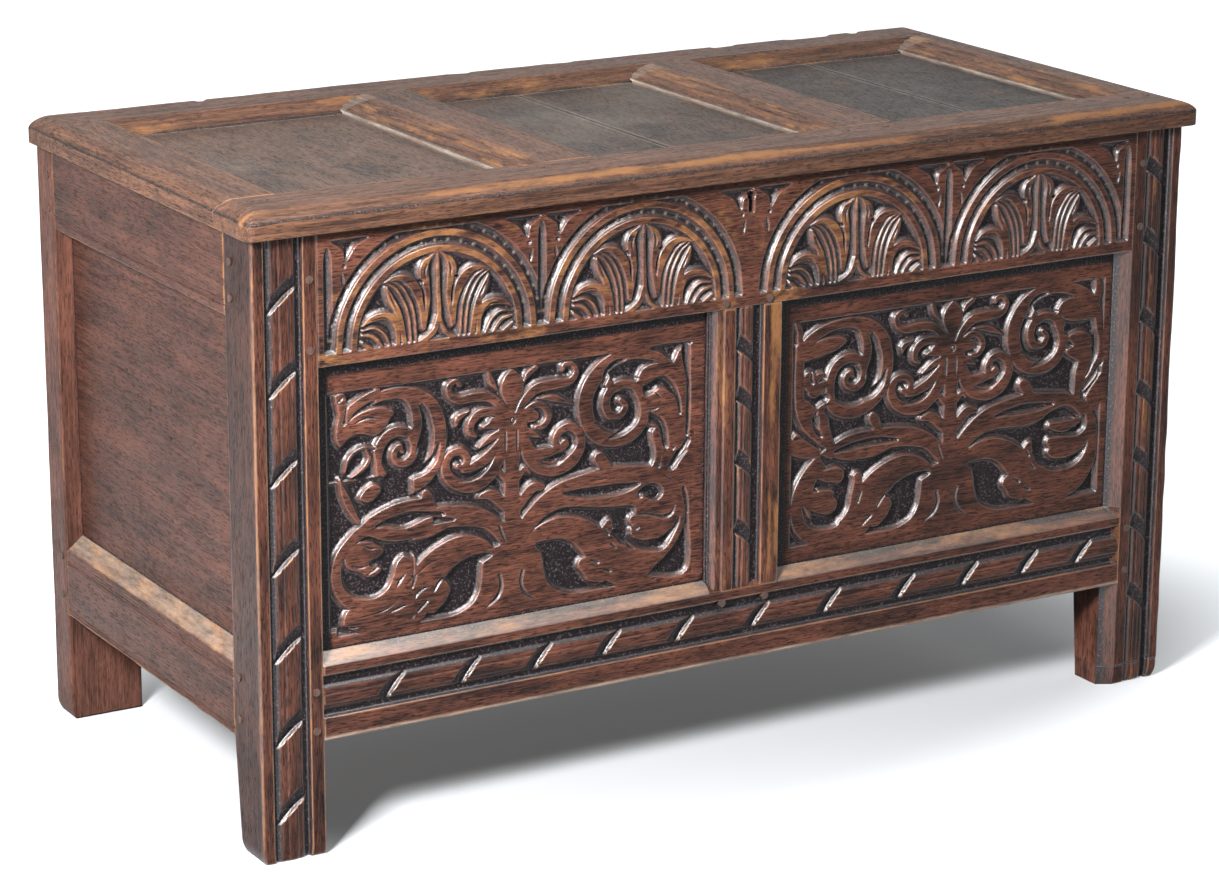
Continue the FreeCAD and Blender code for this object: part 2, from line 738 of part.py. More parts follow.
def lid_outer_cuts():
    return [front_thumb_cut(), left_thumb_cut(), mirrored(left_thumb_cut())]


def lid_rail_grooves(y0, y1):
    """Stretches of panel groove between the lid's uprights."""
    reach = groove_d
    spans = lid_panel_spans()
    return [block(a - reach, b + reach, y0, y1, *lid_tenon_z) for a, b in spans]


def lid_panel_spans():
    """Left and right edge of the three lid openings."""
    return ((lid_opening_left, lid_muntin_left_x),
            (lid_muntin_left_x + lid_muntin_w, lid_muntin_right_x),
            (lid_muntin_right_x + lid_muntin_w, lid_opening_right))


def lid_front_rail():
    rail = block(lid_left, lid_right, lid_front, lid_rail_front, lid_z, lid_top)
    cuts = lid_outer_cuts() + lid_rail_grooves(lid_rail_front - groove_d, lid_rail_front)
    cuts += mortises([lid_tenon_boxes(*u)[0] for u in lid_uprights])
    cuts += [lid_peg_hole(p) for u in lid_uprights for p in lid_peg_points(*u)]
    cuts += [nail_hole(p, UP) for p in staple_nail_points()]
    return cut_all(rail, cuts)


def lid_back_rail():
    """Back rail, with a plain bevel down to the panels."""
    flat = lid_rail_back + lid_back_bevel_w
    points = [(lid_left, lid_rail_back, lid_z), (lid_left, lid_rail_back, lid_panel_top),
              (lid_left, flat, lid_top), (lid_left, lid_back, lid_top), (lid_left, lid_back, lid_z)]
    rail = prism(points, (lid_right - lid_left, 0, 0))
    cuts = lid_outer_cuts() + lid_rail_grooves(lid_rail_back, lid_rail_back + groove_d)
    cuts += mortises([lid_tenon_boxes(*u)[1] for u in lid_uprights])
    cuts += [lid_peg_hole(p) for u in lid_uprights for p in lid_peg_points(*u)]
    cuts += [nail_hole(p, UP) for x in strap_xs for p in strap_nail_points(x)]
    return cut_all(rail, cuts)


def lid_back_rail_space():
    """What the end rails and muntins lose where they are scribed over the back rail's bevel."""
    flat = lid_rail_back + lid_back_bevel_w
    points = [(lid_left, lid_rail_back, lid_z), (lid_left, lid_rail_back, lid_panel_top),
              (lid_left, flat, lid_top), (lid_left, flat, lid_z)]
    return prism(points, (lid_right - lid_left, 0, 0))


def lid_upright(x0, width, mould_w):
    """End rail or muntin of the lid; mould_w is the width of the stepped moulding on its left edge."""
    low = lid_panel_top - lid_z
    steps = [(0, 0)]
    if mould_w:
        low += lid_mould_cover
        steps += [(0, low)]
        for share, foot, top in lid_mould_steps:
            steps += [(mould_w * share, low + foot), (mould_w * share, low + top)]
        steps += [(mould_w, lid_t)]
    else:
        steps += [(0, lid_t)]
    steps += [(width, lid_t), (width, 0)]

    def place(u, v):
        return vec(x0 + u, lid_rail_front, lid_z + v)

    length = lid_rail_back + lid_back_bevel_w - lid_rail_front
    body = moulded(steps, place, (0, length, 0)).cut(lid_back_rail_space())
    tenons = [block(*t) for t in lid_tenon_boxes(x0, width)]
    upright = fused([body] + tenons)
    cuts = [lid_peg_hole(p) for p in lid_peg_points(x0, width)] + lid_outer_cuts()
    cuts += [nail_hole(p, UP) for x in strap_xs for p in strap_nail_points(x)]
    return cut_all(upright, cuts)


def lid_left_rail():
    rail = lid_upright(lid_left, lid_left_rail_w, 0)
    return rail.cut(lid_groove_space(lid_opening_left - groove_d, lid_opening_left))


def lid_right_rail():
    rail = lid_upright(lid_opening_right, lid_right_rail_w, lid_mould_w)
    return rail.cut(lid_groove_space(lid_opening_right, lid_opening_right + groove_d))


def lid_groove_space(x0, x1):
    """Groove along an end rail or muntin, between its shoulders."""
    return block(x0, x1, lid_rail_front, lid_rail_back, *lid_tenon_z)


def lid_muntin(x0):
    muntin = lid_upright(x0, lid_muntin_w, lid_mould_w)
    far = x0 + lid_muntin_w
    grooves = [lid_groove_space(x0, x0 + groove_d), lid_groove_space(far - groove_d, far)]
    return cut_all(muntin, grooves)


def lid_board(x0, x1):
    reach = groove_d - panel_edge_gap
    return block(x0, x1, lid_rail_front - reach, lid_rail_back + reach, *lid_tenon_z)


def lid_panel_boards():
    """The five boards of the three lid panels, by node name."""
    reach = groove_d - panel_edge_gap
    spans = [(a - reach, b + reach) for a, b in lid_panel_spans()]
    boards = {"lid_panel_left": lid_board(*spans[0])}
    for name, span, share in (("middle", spans[1], middle_joint), ("right", spans[2], right_joint)):
        meet = span[0] + (span[1] - span[0]) * share
        boards["lid_panel_" + name + "_a"] = lid_board(span[0], meet - board_gap / 2)
        boards["lid_panel_" + name + "_b"] = lid_board(meet + board_gap / 2, span[1])
    return boards


# ---- hinges ----------------------------------------------------------------------------------------
def leaf_nail_points(x):
    face = back + strap_t
    top = axis_z - eye_r
    upper = [(x + side * leaf_nail_side, face, top - leaf_nail_drop) for side in (-1, 1)]
    return upper + [(x, face, top - leaf_nail_low_drop)]


def strap_nail_points(x):
    face = lid_z - strap_t
    ys = [lid_back - strap_back_nail] + [lid_rail_back - step for step in strap_nail_steps]
    ys.append(axis_y - strap_l + strap_tip_nail)
    return [(x, y, face) for y in ys]


def hinge_bore(x):
    return rod(hinge_pin_r + hinge_pin_gap, (x - leaf_w, axis_y, axis_z), (1, 0, 0), 2 * leaf_w)


def hinge_leaf(x):
    """Plate on the back of the back rail, with two eyes."""
    half = leaf_w / 2
    low = axis_z - leaf_h
    points = [(x - half, back, axis_z), (x - half, back, low + leaf_clip), (x - half + leaf_clip, back, low),
              (x + half - leaf_clip, back, low), (x + half, back, low + leaf_clip), (x + half, back, axis_z)]
    plate = prism(points, (0, strap_t, 0))
    eye = rod(eye_r, (x - half, axis_y, axis_z), (1, 0, 0), leaf_w)
    inner = strap_w / 2 + knuckle_gap
    slot = block(x - inner, x + inner, back - 1, back + 3 * eye_r, axis_z - eye_r - knuckle_gap,
                 axis_z + 2 * eye_r)
    leaf = fused([plate, eye]).cut(slot).cut(hinge_bore(x))
    return cut_all(leaf, [nail_hole(p, TO_FRONT) for p in leaf_nail_points(x)])


def hinge_strap(x):
    """Tapering strap under the lid, with one eye between the eyes of the leaf."""
    half = strap_w / 2
    tip = strap_tip_w / 2
    face = lid_z - strap_t
    end = axis_y - strap_l
    steps = [(-half, axis_y), (-tip, end + tip), (0, end, tip, end + tip), (half, axis_y)]
    plate = moulded(steps, lambda u, v: vec(x + u, v, face), (0, 0, strap_t))
    eye = rod(eye_r, (x - half, axis_y, axis_z), (1, 0, 0), strap_w)
    strap = fused([plate, eye]).cut(hinge_bore(x))
    return cut_all(strap, [nail_hole(p, UP) for p in strap_nail_points(x)])


def hinge_pin(x):
    """Pin with a burred head at each end."""
    half = leaf_w / 2
    shank = rod(hinge_pin_r, (x - half - pin_head_t, axis_y, axis_z), (1, 0, 0), leaf_w + 2 * pin_head_t)
    heads = [rod(pin_head_r, (x - half - pin_head_t, axis_y, axis_z), (1, 0, 0), pin_head_t),
             rod(pin_head_r, (x + half, axis_y, axis_z), (1, 0, 0), pin_head_t)]
    return fused([shank] + heads)


# ---- lock ------------------------------------------------------------------------------------------
def lock_nail_points():
    """Nail places on the flange of the lock plate."""
    x = lock_w / 2 + lock_flange / 2
    zs = (lock_z + lock_nail_foot, lock_top - lock_nail_head)
    return [(side * x, lock_case_y, z) for side in (-1, 1) for z in zs]


def lock_case():
    """Plate with flanges, a box on it, three guides for the bolt and a slot for the staple."""
    half = lock_w / 2
    far = lock_case_y + lock_d
    plate = block(-half - lock_flange, half + lock_flange, lock_plate_y, lock_case_y, lock_z, lock_top)
    shell = block(-half, half, lock_case_y, far, lock_z, lock_top)
    shell = shell.cut(block(-half + lock_wall, half - lock_wall, lock_case_y, far - lock_wall,
                            lock_z + lock_wall, lock_top - lock_wall))
    guides = [block(x, x + guide_t, lock_case_y, far - lock_wall, lock_z + lock_wall, lock_top - lock_wall)
              for x in guide_xs]
    case = fused([plate, shell] + guides)
    gap = bolt_slide_gap
    channel = block(guide_xs[0] - 1, guide_xs[2] + guide_t + 1, bolt_y - gap, bolt_y + bolt_t + gap,
                    bolt_z - gap, bolt_z + bolt_h + gap)
    slot = block(guide_xs[1] + guide_t, guide_xs[2], lock_case_y, far - lock_wall,
                 lock_top - lock_wall, lock_top)
    cuts = [channel, slot, keyhole()] + [nail_hole(p, TO_FRONT) for p in lock_nail_points()]
    return cut_all(case, cuts)


def lock_bolt():
    """Square bolt, withdrawn from the staple, with a notch that the key catches."""
    bolt = block(bolt_tail_x, bolt_tail_x + bolt_l, bolt_y, bolt_y + bolt_t, bolt_z, bolt_z + bolt_h)
    talon = block(keyhole_x - talon_w / 2, keyhole_x + talon_w / 2, bolt_y, bolt_y + bolt_t,
                  bolt_z + bolt_h - talon_h, bolt_z + bolt_h)
    return bolt.cut(talon)


def staple_nail_points():
    face = lid_z - strap_t
    y = staple_plate_y + staple_plate_d / 2
    reach = staple_plate_w / 2 - staple_nail_inset
    return [(staple_x + side * reach, y, face) for side in (-1, 1)]


def lid_staple():
    """Plate under the lid with a loop that hangs into the lock."""
    half = staple_plate_w / 2
    face = lid_z - strap_t
    plate = block(staple_x - half, staple_x + half, staple_plate_y, staple_plate_y + staple_plate_d,
                  face, lid_z)
    x0 = staple_x - staple_t / 2
    loop_z = bolt_z - staple_eye_gap - staple_foot
    loop = block(x0, x0 + staple_t, staple_y, staple_y + staple_w, loop_z, face)
    eye = block(x0, x0 + staple_t, staple_y + staple_wall, staple_y + staple_w - staple_wall,
                bolt_z - staple_eye_gap, bolt_z + bolt_h + staple_eye_gap)
    staple = fused([plate, loop]).cut(eye)
    return cut_all(staple, [nail_hole(p, UP) for p in staple_nail_points()])


# ---- nodes -----------------------------------------------------------------------------------------
def carcase_nodes():
    splice_stile, splice = front_right_stile_and_foot()
    left_back = back_left_stile()
    top, bottom, panel, rear = side_top_rail(), side_bottom_rail(), side_panel(), back_panel()
    muntin_end = front_muntin_x + front_muntin_w
    nodes = {
        "stile_front_left": [front_left_stile()],
        "stile_front_right": [splice_stile],
        "foot_splice_front_right": [splice],
        "stile_back_left": [left_back],
        "stile_back_right": [mirrored(left_back)],
        "front_top_rail": [front_top_rail()],
        "front_bottom_rail": [front_bottom_rail()],
        "front_muntin": [front_muntin()],
        "front_panel_left": [front_panel(left_shoulder, front_muntin_x)],
        "front_panel_right": [front_panel(muntin_end, right_shoulder)],
        "left_top_rail": [top],
        "left_bottom_rail": [bottom],
        "left_panel": [panel],
        "right_top_rail": [mirrored(top)],
        "right_bottom_rail": [mirrored(bottom)],
        "right_panel": [mirrored(panel)],
        "back_top_rail": [back_top_rail()],
        "back_bottom_rail": [back_bottom_rail()],
        "back_muntin": [back_muntin()],
        "back_panel_left": [rear],
        "back_panel_right": [mirrored(rear)],
    }
    for number, edges in enumerate(board_edges(), 1):
        nodes["bottom_board_" + str(number)] = [bottom_board(*edges)]
    return nodes


def fastener_nodes():
    left_pegs = [peg(p, TO_RIGHT) for p in side_pegs]
    back_left_set = [peg(p, TO_FRONT) for p in back_stile_pegs]
    front_set = front_left_pegs + front_right_pegs + front_muntin_pegs
    lid_points = [p for u in lid_uprights for p in lid_peg_points(*u)]
    return {
        "pegs_front": [peg(p, TO_REAR) for p in front_set],
        "pegs_left": left_pegs,
        "pegs_right": [mirrored(p) for p in left_pegs],
        "pegs_back": back_left_set + [mirrored(p) for p in back_left_set]
        + [peg(p, TO_FRONT) for p in back_muntin_pegs],
        "pegs_lid": [peg(p, DOWN, lid_peg_proud, lid_peg_l) for p in lid_points],
        "bottom_board_nails": [nail(p, UP) for p in board_nail_points()],
        "hinge_leaf_nails": [nail(p, TO_FRONT) for x in strap_xs for p in leaf_nail_points(x)],
        "hinge_strap_nails": [nail(p, UP) for x in strap_xs for p in strap_nail_points(x)],
        "lock_nails": [nail(p, TO_FRONT) for p in lock_nail_points()],
        "staple_nails": [nail(p, UP) for p in staple_nail_points()],
    }


def lid_nodes():
    nodes = {
        "lid_front_rail": [lid_front_rail()],
        "lid_back_rail": [lid_back_rail()],
        "lid_left_rail": [lid_left_rail()],
        "lid_right_rail": [lid_right_rail()],
        "lid_muntin_left": [lid_muntin(lid_muntin_left_x)],
        "lid_muntin_right": [lid_muntin(lid_muntin_right_x)],
    }
    for name, board in lid_panel_boards().items():
        nodes[name] = [board]
    return nodes


def iron_nodes():
    nodes = {"lock_case": [lock_case()], "lock_bolt": [lock_bolt()], "lid_staple": [lid_staple()]}
    for side, x in zip(("left", "right"), strap_xs):
        nodes["hinge_leaf_" + side] = [hinge_leaf(x)]
        nodes["hinge_strap_" + side] = [hinge_strap(x)]
        nodes["hinge_pin_" + side] = [hinge_pin(x)]
    return nodes


os.makedirs("parts", exist_ok=True)
for group in (carcase_nodes(), fastener_nodes(), lid_nodes(), iron_nodes()):
    for node, shapes in group.items():
        save(node, shapes)
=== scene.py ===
"""A joined oak coffer with carved front panels, dressed over its frame of named timbers."""
import math

import bpy
import numpy as np
from mathutils import Matrix, Vector


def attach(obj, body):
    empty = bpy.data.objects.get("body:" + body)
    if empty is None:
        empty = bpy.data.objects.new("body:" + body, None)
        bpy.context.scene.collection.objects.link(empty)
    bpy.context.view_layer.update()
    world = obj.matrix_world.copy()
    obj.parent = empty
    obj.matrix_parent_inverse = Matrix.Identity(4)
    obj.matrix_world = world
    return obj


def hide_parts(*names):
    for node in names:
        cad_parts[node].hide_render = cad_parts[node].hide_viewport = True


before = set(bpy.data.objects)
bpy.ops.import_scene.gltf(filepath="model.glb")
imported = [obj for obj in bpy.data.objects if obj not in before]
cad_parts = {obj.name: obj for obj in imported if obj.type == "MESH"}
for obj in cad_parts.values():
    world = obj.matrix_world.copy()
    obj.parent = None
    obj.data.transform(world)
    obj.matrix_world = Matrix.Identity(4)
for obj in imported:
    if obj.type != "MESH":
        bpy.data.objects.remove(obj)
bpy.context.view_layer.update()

MM = 0.001

# ---- sizes of the timbers, in mm -----------------------------------------------------------------
left, right = -590.0, 590.0
front, back = -273.55, 278.45
carcase_top = 672.0
left_shoulder, right_shoulder, right_face_edge = -517.0, 508.5, 525.5
front_stile_d = 65.0
foot_taper = 12.0
foot_wear_h, foot_wear_reach = 16.0, 24.0
foot_loss_x, foot_loss_y = 5.0, 3.0
splice_h = 24.0
splice_seam_w = 1.2
front_rail_t = 30.0
front_rail_z = 530.0
low_rail_z, low_rail_face, low_rail_top = 127.0, 209.0, 222.0
front_recess = 13.0
muntin_left, muntin_right = -45.0, 45.0
muntin_mould_line = ((0, -10.5), (3.4, -10.5), (3.6, -8.5), (6.1, -4.6), (8.5, -2.6), (11.5, -2.0),
                     (15.9, -2.0), (16.1, 0))
side_front, side_back = -208.55, 234.45
side_rail_t = 34.0
side_recess = 20.0
side_top_z = 579.5
side_low_face, side_panel_z = 204.5, 220.5
back_left, back_right = -502.0, 502.0
back_recess = 12.0
back_top_z = 560.0
back_low_z, back_low_top = 162.0, 240.0
back_muntin_half = 40.0
back_stile_d, back_rail_t = 44.0, 28.0
panel_t = 12.0
panel_reach = 2.0           # how far a panel is drawn into its grooves

lid_top = 701.0
lid_t = 28.5
lid_left, lid_right = -602.0, 602.0
lid_front, lid_back = -289.55, 274.45
lid_rail_front, lid_rail_back = -210.55, 188.45
lid_bevel_w = 26.0
lid_recess = 15.0
lid_panel_t = 8.0
lid_opening_left, lid_opening_right = -532.0, 519.0
lid_muntins = (-254.0, 131.0)
lid_muntin_w = 95.0
lid_mould_w = 42.0
lid_mould_line = ((0, -11.5), (5.8, -9.5), (6.0, -8.0), (17.5, -5.0), (17.8, -3.8), (30.0, -2.0),
                  (30.3, -1.0), (42.0, 0))
thumb_line = ((0, -10.0), (2.0, -8.6), (5.5, -6.0), (10.0, -3.6), (15.0, -1.7), (20.0, -0.5), (24.0, 0))
lid_end_reach = 9.0          # how far the two boards of a panel pass under the muntins, for where they meet
board_gap = 0.6
worn_corner_r, back_corner_r = 11.0, 5.0
strap_xs = (-206.5, 178.5)
strap_half = 16.0
strap_seat, seat_blend = 669.5, 20.0

# ---- sizes of the carving, in mm -----------------------------------------------------------------
carving_pitch = 0.8
panel_relief = 5.4
frieze_relief = 5.0
gouge_wall = 3.8            # width of the hollow wall left by the gouge
steep_share = 0.38          # share of the depth that is cut steeply at an edge
nulling_depth = 6.0
vein_depth = 2.6
scratch_depth = 1.2
eye_depth, eye_w = 3.0, 4.5
punch_rise, punch_r, punch_gap = 1.3, 1.7, 15.0
keyhole_x, keyhole_z = 3.0, 652.0
key_r, key_slot_half, key_slot_h, key_depth = 4.6, 3.0, 18.0, 12.0
reed_groove_depth = 1.1
scoop_start, scoop_depth, scoop_bow = 1.8, 6.2, 2.5
# how dark the scoops are made, by old wax and by painted shade
wax_and_shade_in_scoops = 0.85
groove_w = 1.1
left_stile_scoops = (604, 516, 422, 327, 232, 140, 55)
right_stile_scoops = (612, 528, 434, 347, 266, 184, 98)
muntin_scoops = (473, 416, 344, 265)
low_rail_scoops = (-430, -340, -252, -166, -73, 26, 122, 224, 313, 398, 476)
arris_inset = 0.8            # the panels' raised shapes stand this far inside their drawn outline
frieze_wall = 5.0            # wider hollows than on the panels
arch_segments, plate_segments = 13, 17
line_step = 2.0
shape_reach = 8.0            # how far outside a shape its distance is worked out
flank_loss = 0.25
tiny = 1e-9


# ---- small numeric tools -------------------------------------------------------------------------
def speckle(u, v, size_u, size_v, seed):
    """Smooth random field from -1 to 1, in cells of the given sizes."""
    lattice = np.random.default_rng(seed).uniform(-1, 1, (64, 64))
    across, along = np.asarray(u, float) / size_u, np.asarray(v, float) / size_v
    i, j = np.floor(across).astype(int), np.floor(along).astype(int)
    a, b = across - i, along - j
    a, b = a * a * (3 - 2 * a), b * b * (3 - 2 * b)
    low = lattice[j % 64, i % 64] * (1 - a) + lattice[j % 64, (i + 1) % 64] * a
    high = lattice[(j + 1) % 64, i % 64] * (1 - a) + lattice[(j + 1) % 64, (i + 1) % 64] * a
    return low * (1 - b) + high * b


def cloud(u, v, size, seed, layers=3):
    """Several sizes of speckle added together, from about -1 to 1."""
    total = 0
    for k in range(layers):
        total = total + speckle(u, v, size / 2 ** k, size / 2 ** k, seed + k) / 2 ** k
    return total / 1.6


def ramp(value, low, high):
    """Soft step from 0 at low to 1 at high."""
    t = np.clip((value - low) / (high - low), 0, 1)
    return t * t * (3 - 2 * t)


def ridge(distance, width):
    """1 on a line, falling off to both sides of it."""
    return np.exp(-(distance / width) ** 2)


def rounding(distance, radius):
    """Loss of height near an edge that is rounded over."""
    near = np.clip(radius - distance, 0, radius)
    return radius - np.sqrt(np.maximum(radius * radius - near * near, 0))


def spread(lines, sigma, low_side, high_side):
    """Gaussian blur matrix along one direction, with what lies past each end."""
    gaps = np.gradient(lines)
    weights = np.exp(-0.5 * ((lines[:, None] - lines[None, :]) / sigma) ** 2) * gaps[None, :]
    weights /= weights.sum(1, keepdims=True)
    reach = sigma * math.sqrt(2)
    past_low = np.array([0.5 * math.erfc((x - lines[0]) / reach) for x in lines])
    past_high = np.array([0.5 * math.erfc((lines[-1] - x) / reach) for x in lines])
    inside = 1 - past_low - past_high
    return weights * inside[:, None], past_low * low_side + past_high * high_side


def blurred(heights, us, vs, sigma, around):
    """Heights after a blur, with these levels past the four edges."""
    across, edge_u = spread(us, sigma, around[0], around[1])
    along, edge_v = spread(vs, sigma, around[2], around[3])
    return along @ (heights @ across.T + edge_u[None, :]) + edge_v[:, None]


def ruled(start, end, pitch, knots=()):
    """Grid lines at about the pitch, set closer at the ends and at each knot."""
    lines = list(np.linspace(start, end, max(3, int(round((end - start) / pitch)) + 1)))
    lines += [start + d for d in (0.4, 1.0, 2.0)] + [end - d for d in (0.4, 1.0, 2.0)]
    for knot in knots:
        lines += [knot - 1.2, knot - 0.4, knot, knot + 0.4, knot + 1.2]
    lines = sorted(x for x in lines if start <= x <= end)
    kept = [start]
    for x in lines[1:]:
        if x - kept[-1] > 0.18 and end - x > 0.18:
            kept.append(x)
    return np.array(kept + [end])


# ---- carving -------------------------------------------------------------------------------------
def smooth_line(points):
    """Curve through the points, with a column for its width."""
    padded = np.vstack([2 * points[0] - points[1], points, 2 * points[-1] - points[-2]])
    out = []
    for a, b, c, d in zip(padded[:-3], padded[1:-2], padded[2:-1], padded[3:]):
        out.append(curve_between(a, b, c, d))
    line = np.vstack(out + [points[-1:]])
    if line.shape[1] > 2:
        line[:, 2] = np.clip(line[:, 2], 0.1, None)
    return line


def closed_line(points):
    """Closed curve through the points."""
    count = len(points)
    out = []
    for i in range(count):
        out.append(curve_between(*[points[(i + k) % count] for k in (-1, 0, 1, 2)]))
    return np.vstack(out)


def curve_between(a, b, c, d):
    """Catmull-Rom stretch from b to c."""
    count = max(2, int(np.hypot(*(c - b)[:2]) / line_step) + 1)
    t = np.linspace(0, 1, count, endpoint=False)[:, None]
    return b + 0.5 * t * (c - a + t * (2 * a - 5 * b + 4 * c - d + t * (3 * (b - c) + d - a)))


def as_drawn(x, z):
    return x, z


class Relief:
    """A flat face that is carved by lowering its ground, and then cut with gouges."""

    def __init__(self, xs, zs):
        self.xs, self.zs = xs, zs
        self.inside = np.full((len(zs), len(xs)), shape_reach)   # mm inside the nearest raised edge
        self.cut = np.zeros((len(zs), len(xs)))                  # mm taken off by gouges
        self.lay = as_drawn                                      # where a drawn point comes to lie

    def window(self, points, reach):
        """Rows and columns of the grid round the points, or nothing where they miss it."""
        low = points[:, :2].min(0) - reach
        high = points[:, :2].max(0) + reach
        i0, i1 = np.searchsorted(self.xs, (low[0], high[0]))
        j0, j1 = np.searchsorted(self.zs, (low[1], high[1]))
        if i0 >= i1 or j0 >= j1:
            return None
        return slice(j0, j1), slice(i0, i1)

    def laid(self, points):
        placed = np.array(points, float)
        placed[:, 0], placed[:, 1] = self.lay(placed[:, 0], placed[:, 1])
        return placed

    def near_line(self, start, end, px, pz):
        """Distance to a straight stretch, and how far along it the nearest point is."""
        dx, dz = end[0] - start[0], end[1] - start[1]
        t = np.clip(((px - start[0]) * dx + (pz - start[1]) * dz) / (dx * dx + dz * dz + tiny), 0, 1)
        return np.hypot(px - start[0] - t * dx, pz - start[1] - t * dz), t

    def band_depth(self, points, reach):
        """mm inside a tapered band, whose points are x, z, width."""
        line = smooth_line(self.laid(points))
        spot = self.window(line, reach + line[:, 2].max() / 2)
        if spot is None:
            return None, None
        px, pz = np.meshgrid(self.xs[spot[1]], self.zs[spot[0]])
        deep = np.full(px.shape, -reach)
        for start, end in zip(line[:-1], line[1:]):
            gap, t = self.near_line(start, end, px, pz)
            deep = np.maximum(deep, (start[2] + (end[2] - start[2]) * t) / 2 - gap)
        return spot, deep

    def plate_depth(self, points, reach):
        """mm inside a closed outline, whose points are x, z."""
        ring = closed_line(self.laid(points))
        spot = self.window(ring, reach)
        if spot is None:
            return None, None
        px, pz = np.meshgrid(self.xs[spot[1]], self.zs[spot[0]])
        gap = np.full(px.shape, reach)
        within = np.zeros(px.shape, bool)
        for start, end in zip(ring, np.roll(ring, -1, 0)):
            gap = np.minimum(gap, self.near_line(start, end, px, pz)[0])
            rise = (end[1] - start[1]) or tiny
            crosses = (start[1] > pz) != (end[1] > pz)
            within ^= crosses & (px < start[0] + (pz - start[1]) / rise * (end[0] - start[0]))
        return spot, np.where(within, gap, -gap)

    def shape_depth(self, points):
        measure = self.band_depth if len(points[0]) == 3 else self.plate_depth
        return measure(points, shape_reach)

    def keep(self, *shapes):
        """Leave these shapes standing."""
        for points in shapes:
            spot, deep = self.shape_depth(points)
            if spot:
                self.inside[spot] = np.maximum(self.inside[spot], deep)

    def sink(self, *shapes):
        """Lower the ground inside these shapes."""
        for points in shapes:
            spot, deep = self.shape_depth(points)
            if spot:
                self.inside[spot] = np.minimum(self.inside[spot], -deep)

    def sink_field(self, x0, x1, z0, z1):
        """Lower the ground inside a rectangle."""
        (x0, x1), (z0, z1) = self.lay(np.array([x0, x1], float), np.array([z0, z1], float))
        px, pz = np.meshgrid(self.xs, self.zs)
        deep = np.minimum(np.minimum(px - x0, x1 - px), np.minimum(pz - z0, z1 - pz))
        self.inside = np.minimum(self.inside, -deep)

    def gouge(self, depth, *lines):
        """Round-bottomed cuts, whose points are x, z, width."""
        for points in lines:
            spot, deep = self.band_depth(points, 1.0)
            if spot:
                wide = max(p[2] for p in points) / 2
                self.cut[spot] = np.maximum(self.cut[spot], depth * np.sqrt(np.clip(deep / wide, 0, 1)))

    def loss(self, depth, wall):
        """mm below the face: a short steep cut at each edge, then a hollow that runs out to the ground."""
        outside = np.clip(-self.inside / wall, 0, 1)
        hollow = steep_share + (1 - steep_share) * (1 - (1 - outside) ** 1.5)
        edge = 1 - ramp(self.inside, -0.3, 0.5)
        return depth * hollow * edge + self.cut


def carve_crown(r):
    """Centre: crown of leaves, collar, stem and the two scrolls under them."""
    r.keep(
        [(-2, 499), (6, 494), (12, 484), (12, 473), (6, 461), (1, 450), (-4, 450), (-10, 461), (-16, 473),
         (-15, 485), (-9, 494)],
        [(-4, 448, 8), (-14, 459, 11), (-29, 471, 12), (-48, 474, 12), (-66, 473, 11), (-77, 479, 9),
         (-79, 489, 8), (-71, 494, 7), (-65, 489, 6)],
        [(4, 448, 8), (13, 462, 11), (27, 473, 13), (49, 475, 13), (66, 476, 10), (73, 485, 8),
         (68, 494, 7), (59, 494, 7), (58, 489, 5)],
        [(-20, 478, 3), (-26, 487, 8), (-30, 497, 6)],
        [(12, 482, 3), (17, 490, 7), (26, 496, 7)],
        [(-24, 444, 14), (0, 444, 16), (24, 444, 14)],
        [(-14, 452, 10), (-28, 456, 11), (-43, 455, 11), (-52, 446, 10), (-52, 436, 8), (-46, 432, 5)],
        [(-21, 440, 10), (-30, 441, 8), (-36, 440, 5)],
        [(14, 450, 10), (26, 456, 9), (37, 451, 9), (41, 441, 9), (35, 432, 8), (26, 431, 6)],
        [(17, 443, 9), (23, 442, 7)],
        [(-54, 460, 3), (-68, 454, 8), (-70, 446, 3)],
        [(29, 462, 3), (49, 459, 9), (70, 449, 2)],
        [(-12, 434, 7), (-26, 428, 9), (-42, 419, 4)],
        [(12, 432, 7), (22, 425, 9), (33, 419, 2)],
        [(-2, 440, 22), (-2, 415, 24), (-2, 395, 20), (-2, 372, 20), (-2, 350, 22), (-1, 325, 24),
         (0, 305, 34), (0, 285, 44)],
        [(-14, 436, 10), (-15, 420, 12), (-19, 402, 14), (-30, 387, 15), (-47, 379, 16), (-65, 381, 15),
         (-79, 391, 14), (-84, 405, 12), (-78, 416, 10), (-65, 418, 10), (-57, 410, 10), (-61, 401, 9),
         (-68, 402, 8)],
        [(12, 436, 10), (13, 420, 13), (17, 402, 15), (29, 388, 16), (49, 382, 16), (67, 388, 16),
         (78, 402, 13), (77, 417, 12), (66, 426, 11), (54, 423, 10), (49, 413, 10), (53, 404, 10),
         (60, 408, 12)],
        [(-18, 424, 5), (-31, 408, 13), (-48, 400, 12), (-61, 397, 8)],
        [(17, 420, 5), (24, 403, 13), (39, 402, 13), (54, 404, 8)],
        [(-8, 378, 8), (-18, 389, 8), (-26, 383, 3)],
        [(4, 378, 8), (13, 388, 8), (20, 382, 3)],
        [(-6, 345, 10), (-16, 357, 14), (-28, 366, 13), (-40, 366, 8)],
        [(4, 345, 10), (12, 356, 14), (23, 366, 13), (34, 365, 8)])


def carve_foot(r):
    """Spreading foot of the stem."""
    r.keep(
        [(-30, 308), (-38, 299), (-41, 288), (-42, 274), (-45, 262), (-53, 251), (-68, 244), (-86, 239),
         (0, 234), (84, 239), (64, 244), (49, 251), (40, 261), (36, 274), (34, 288), (30, 300), (24, 308),
         (0, 312)])


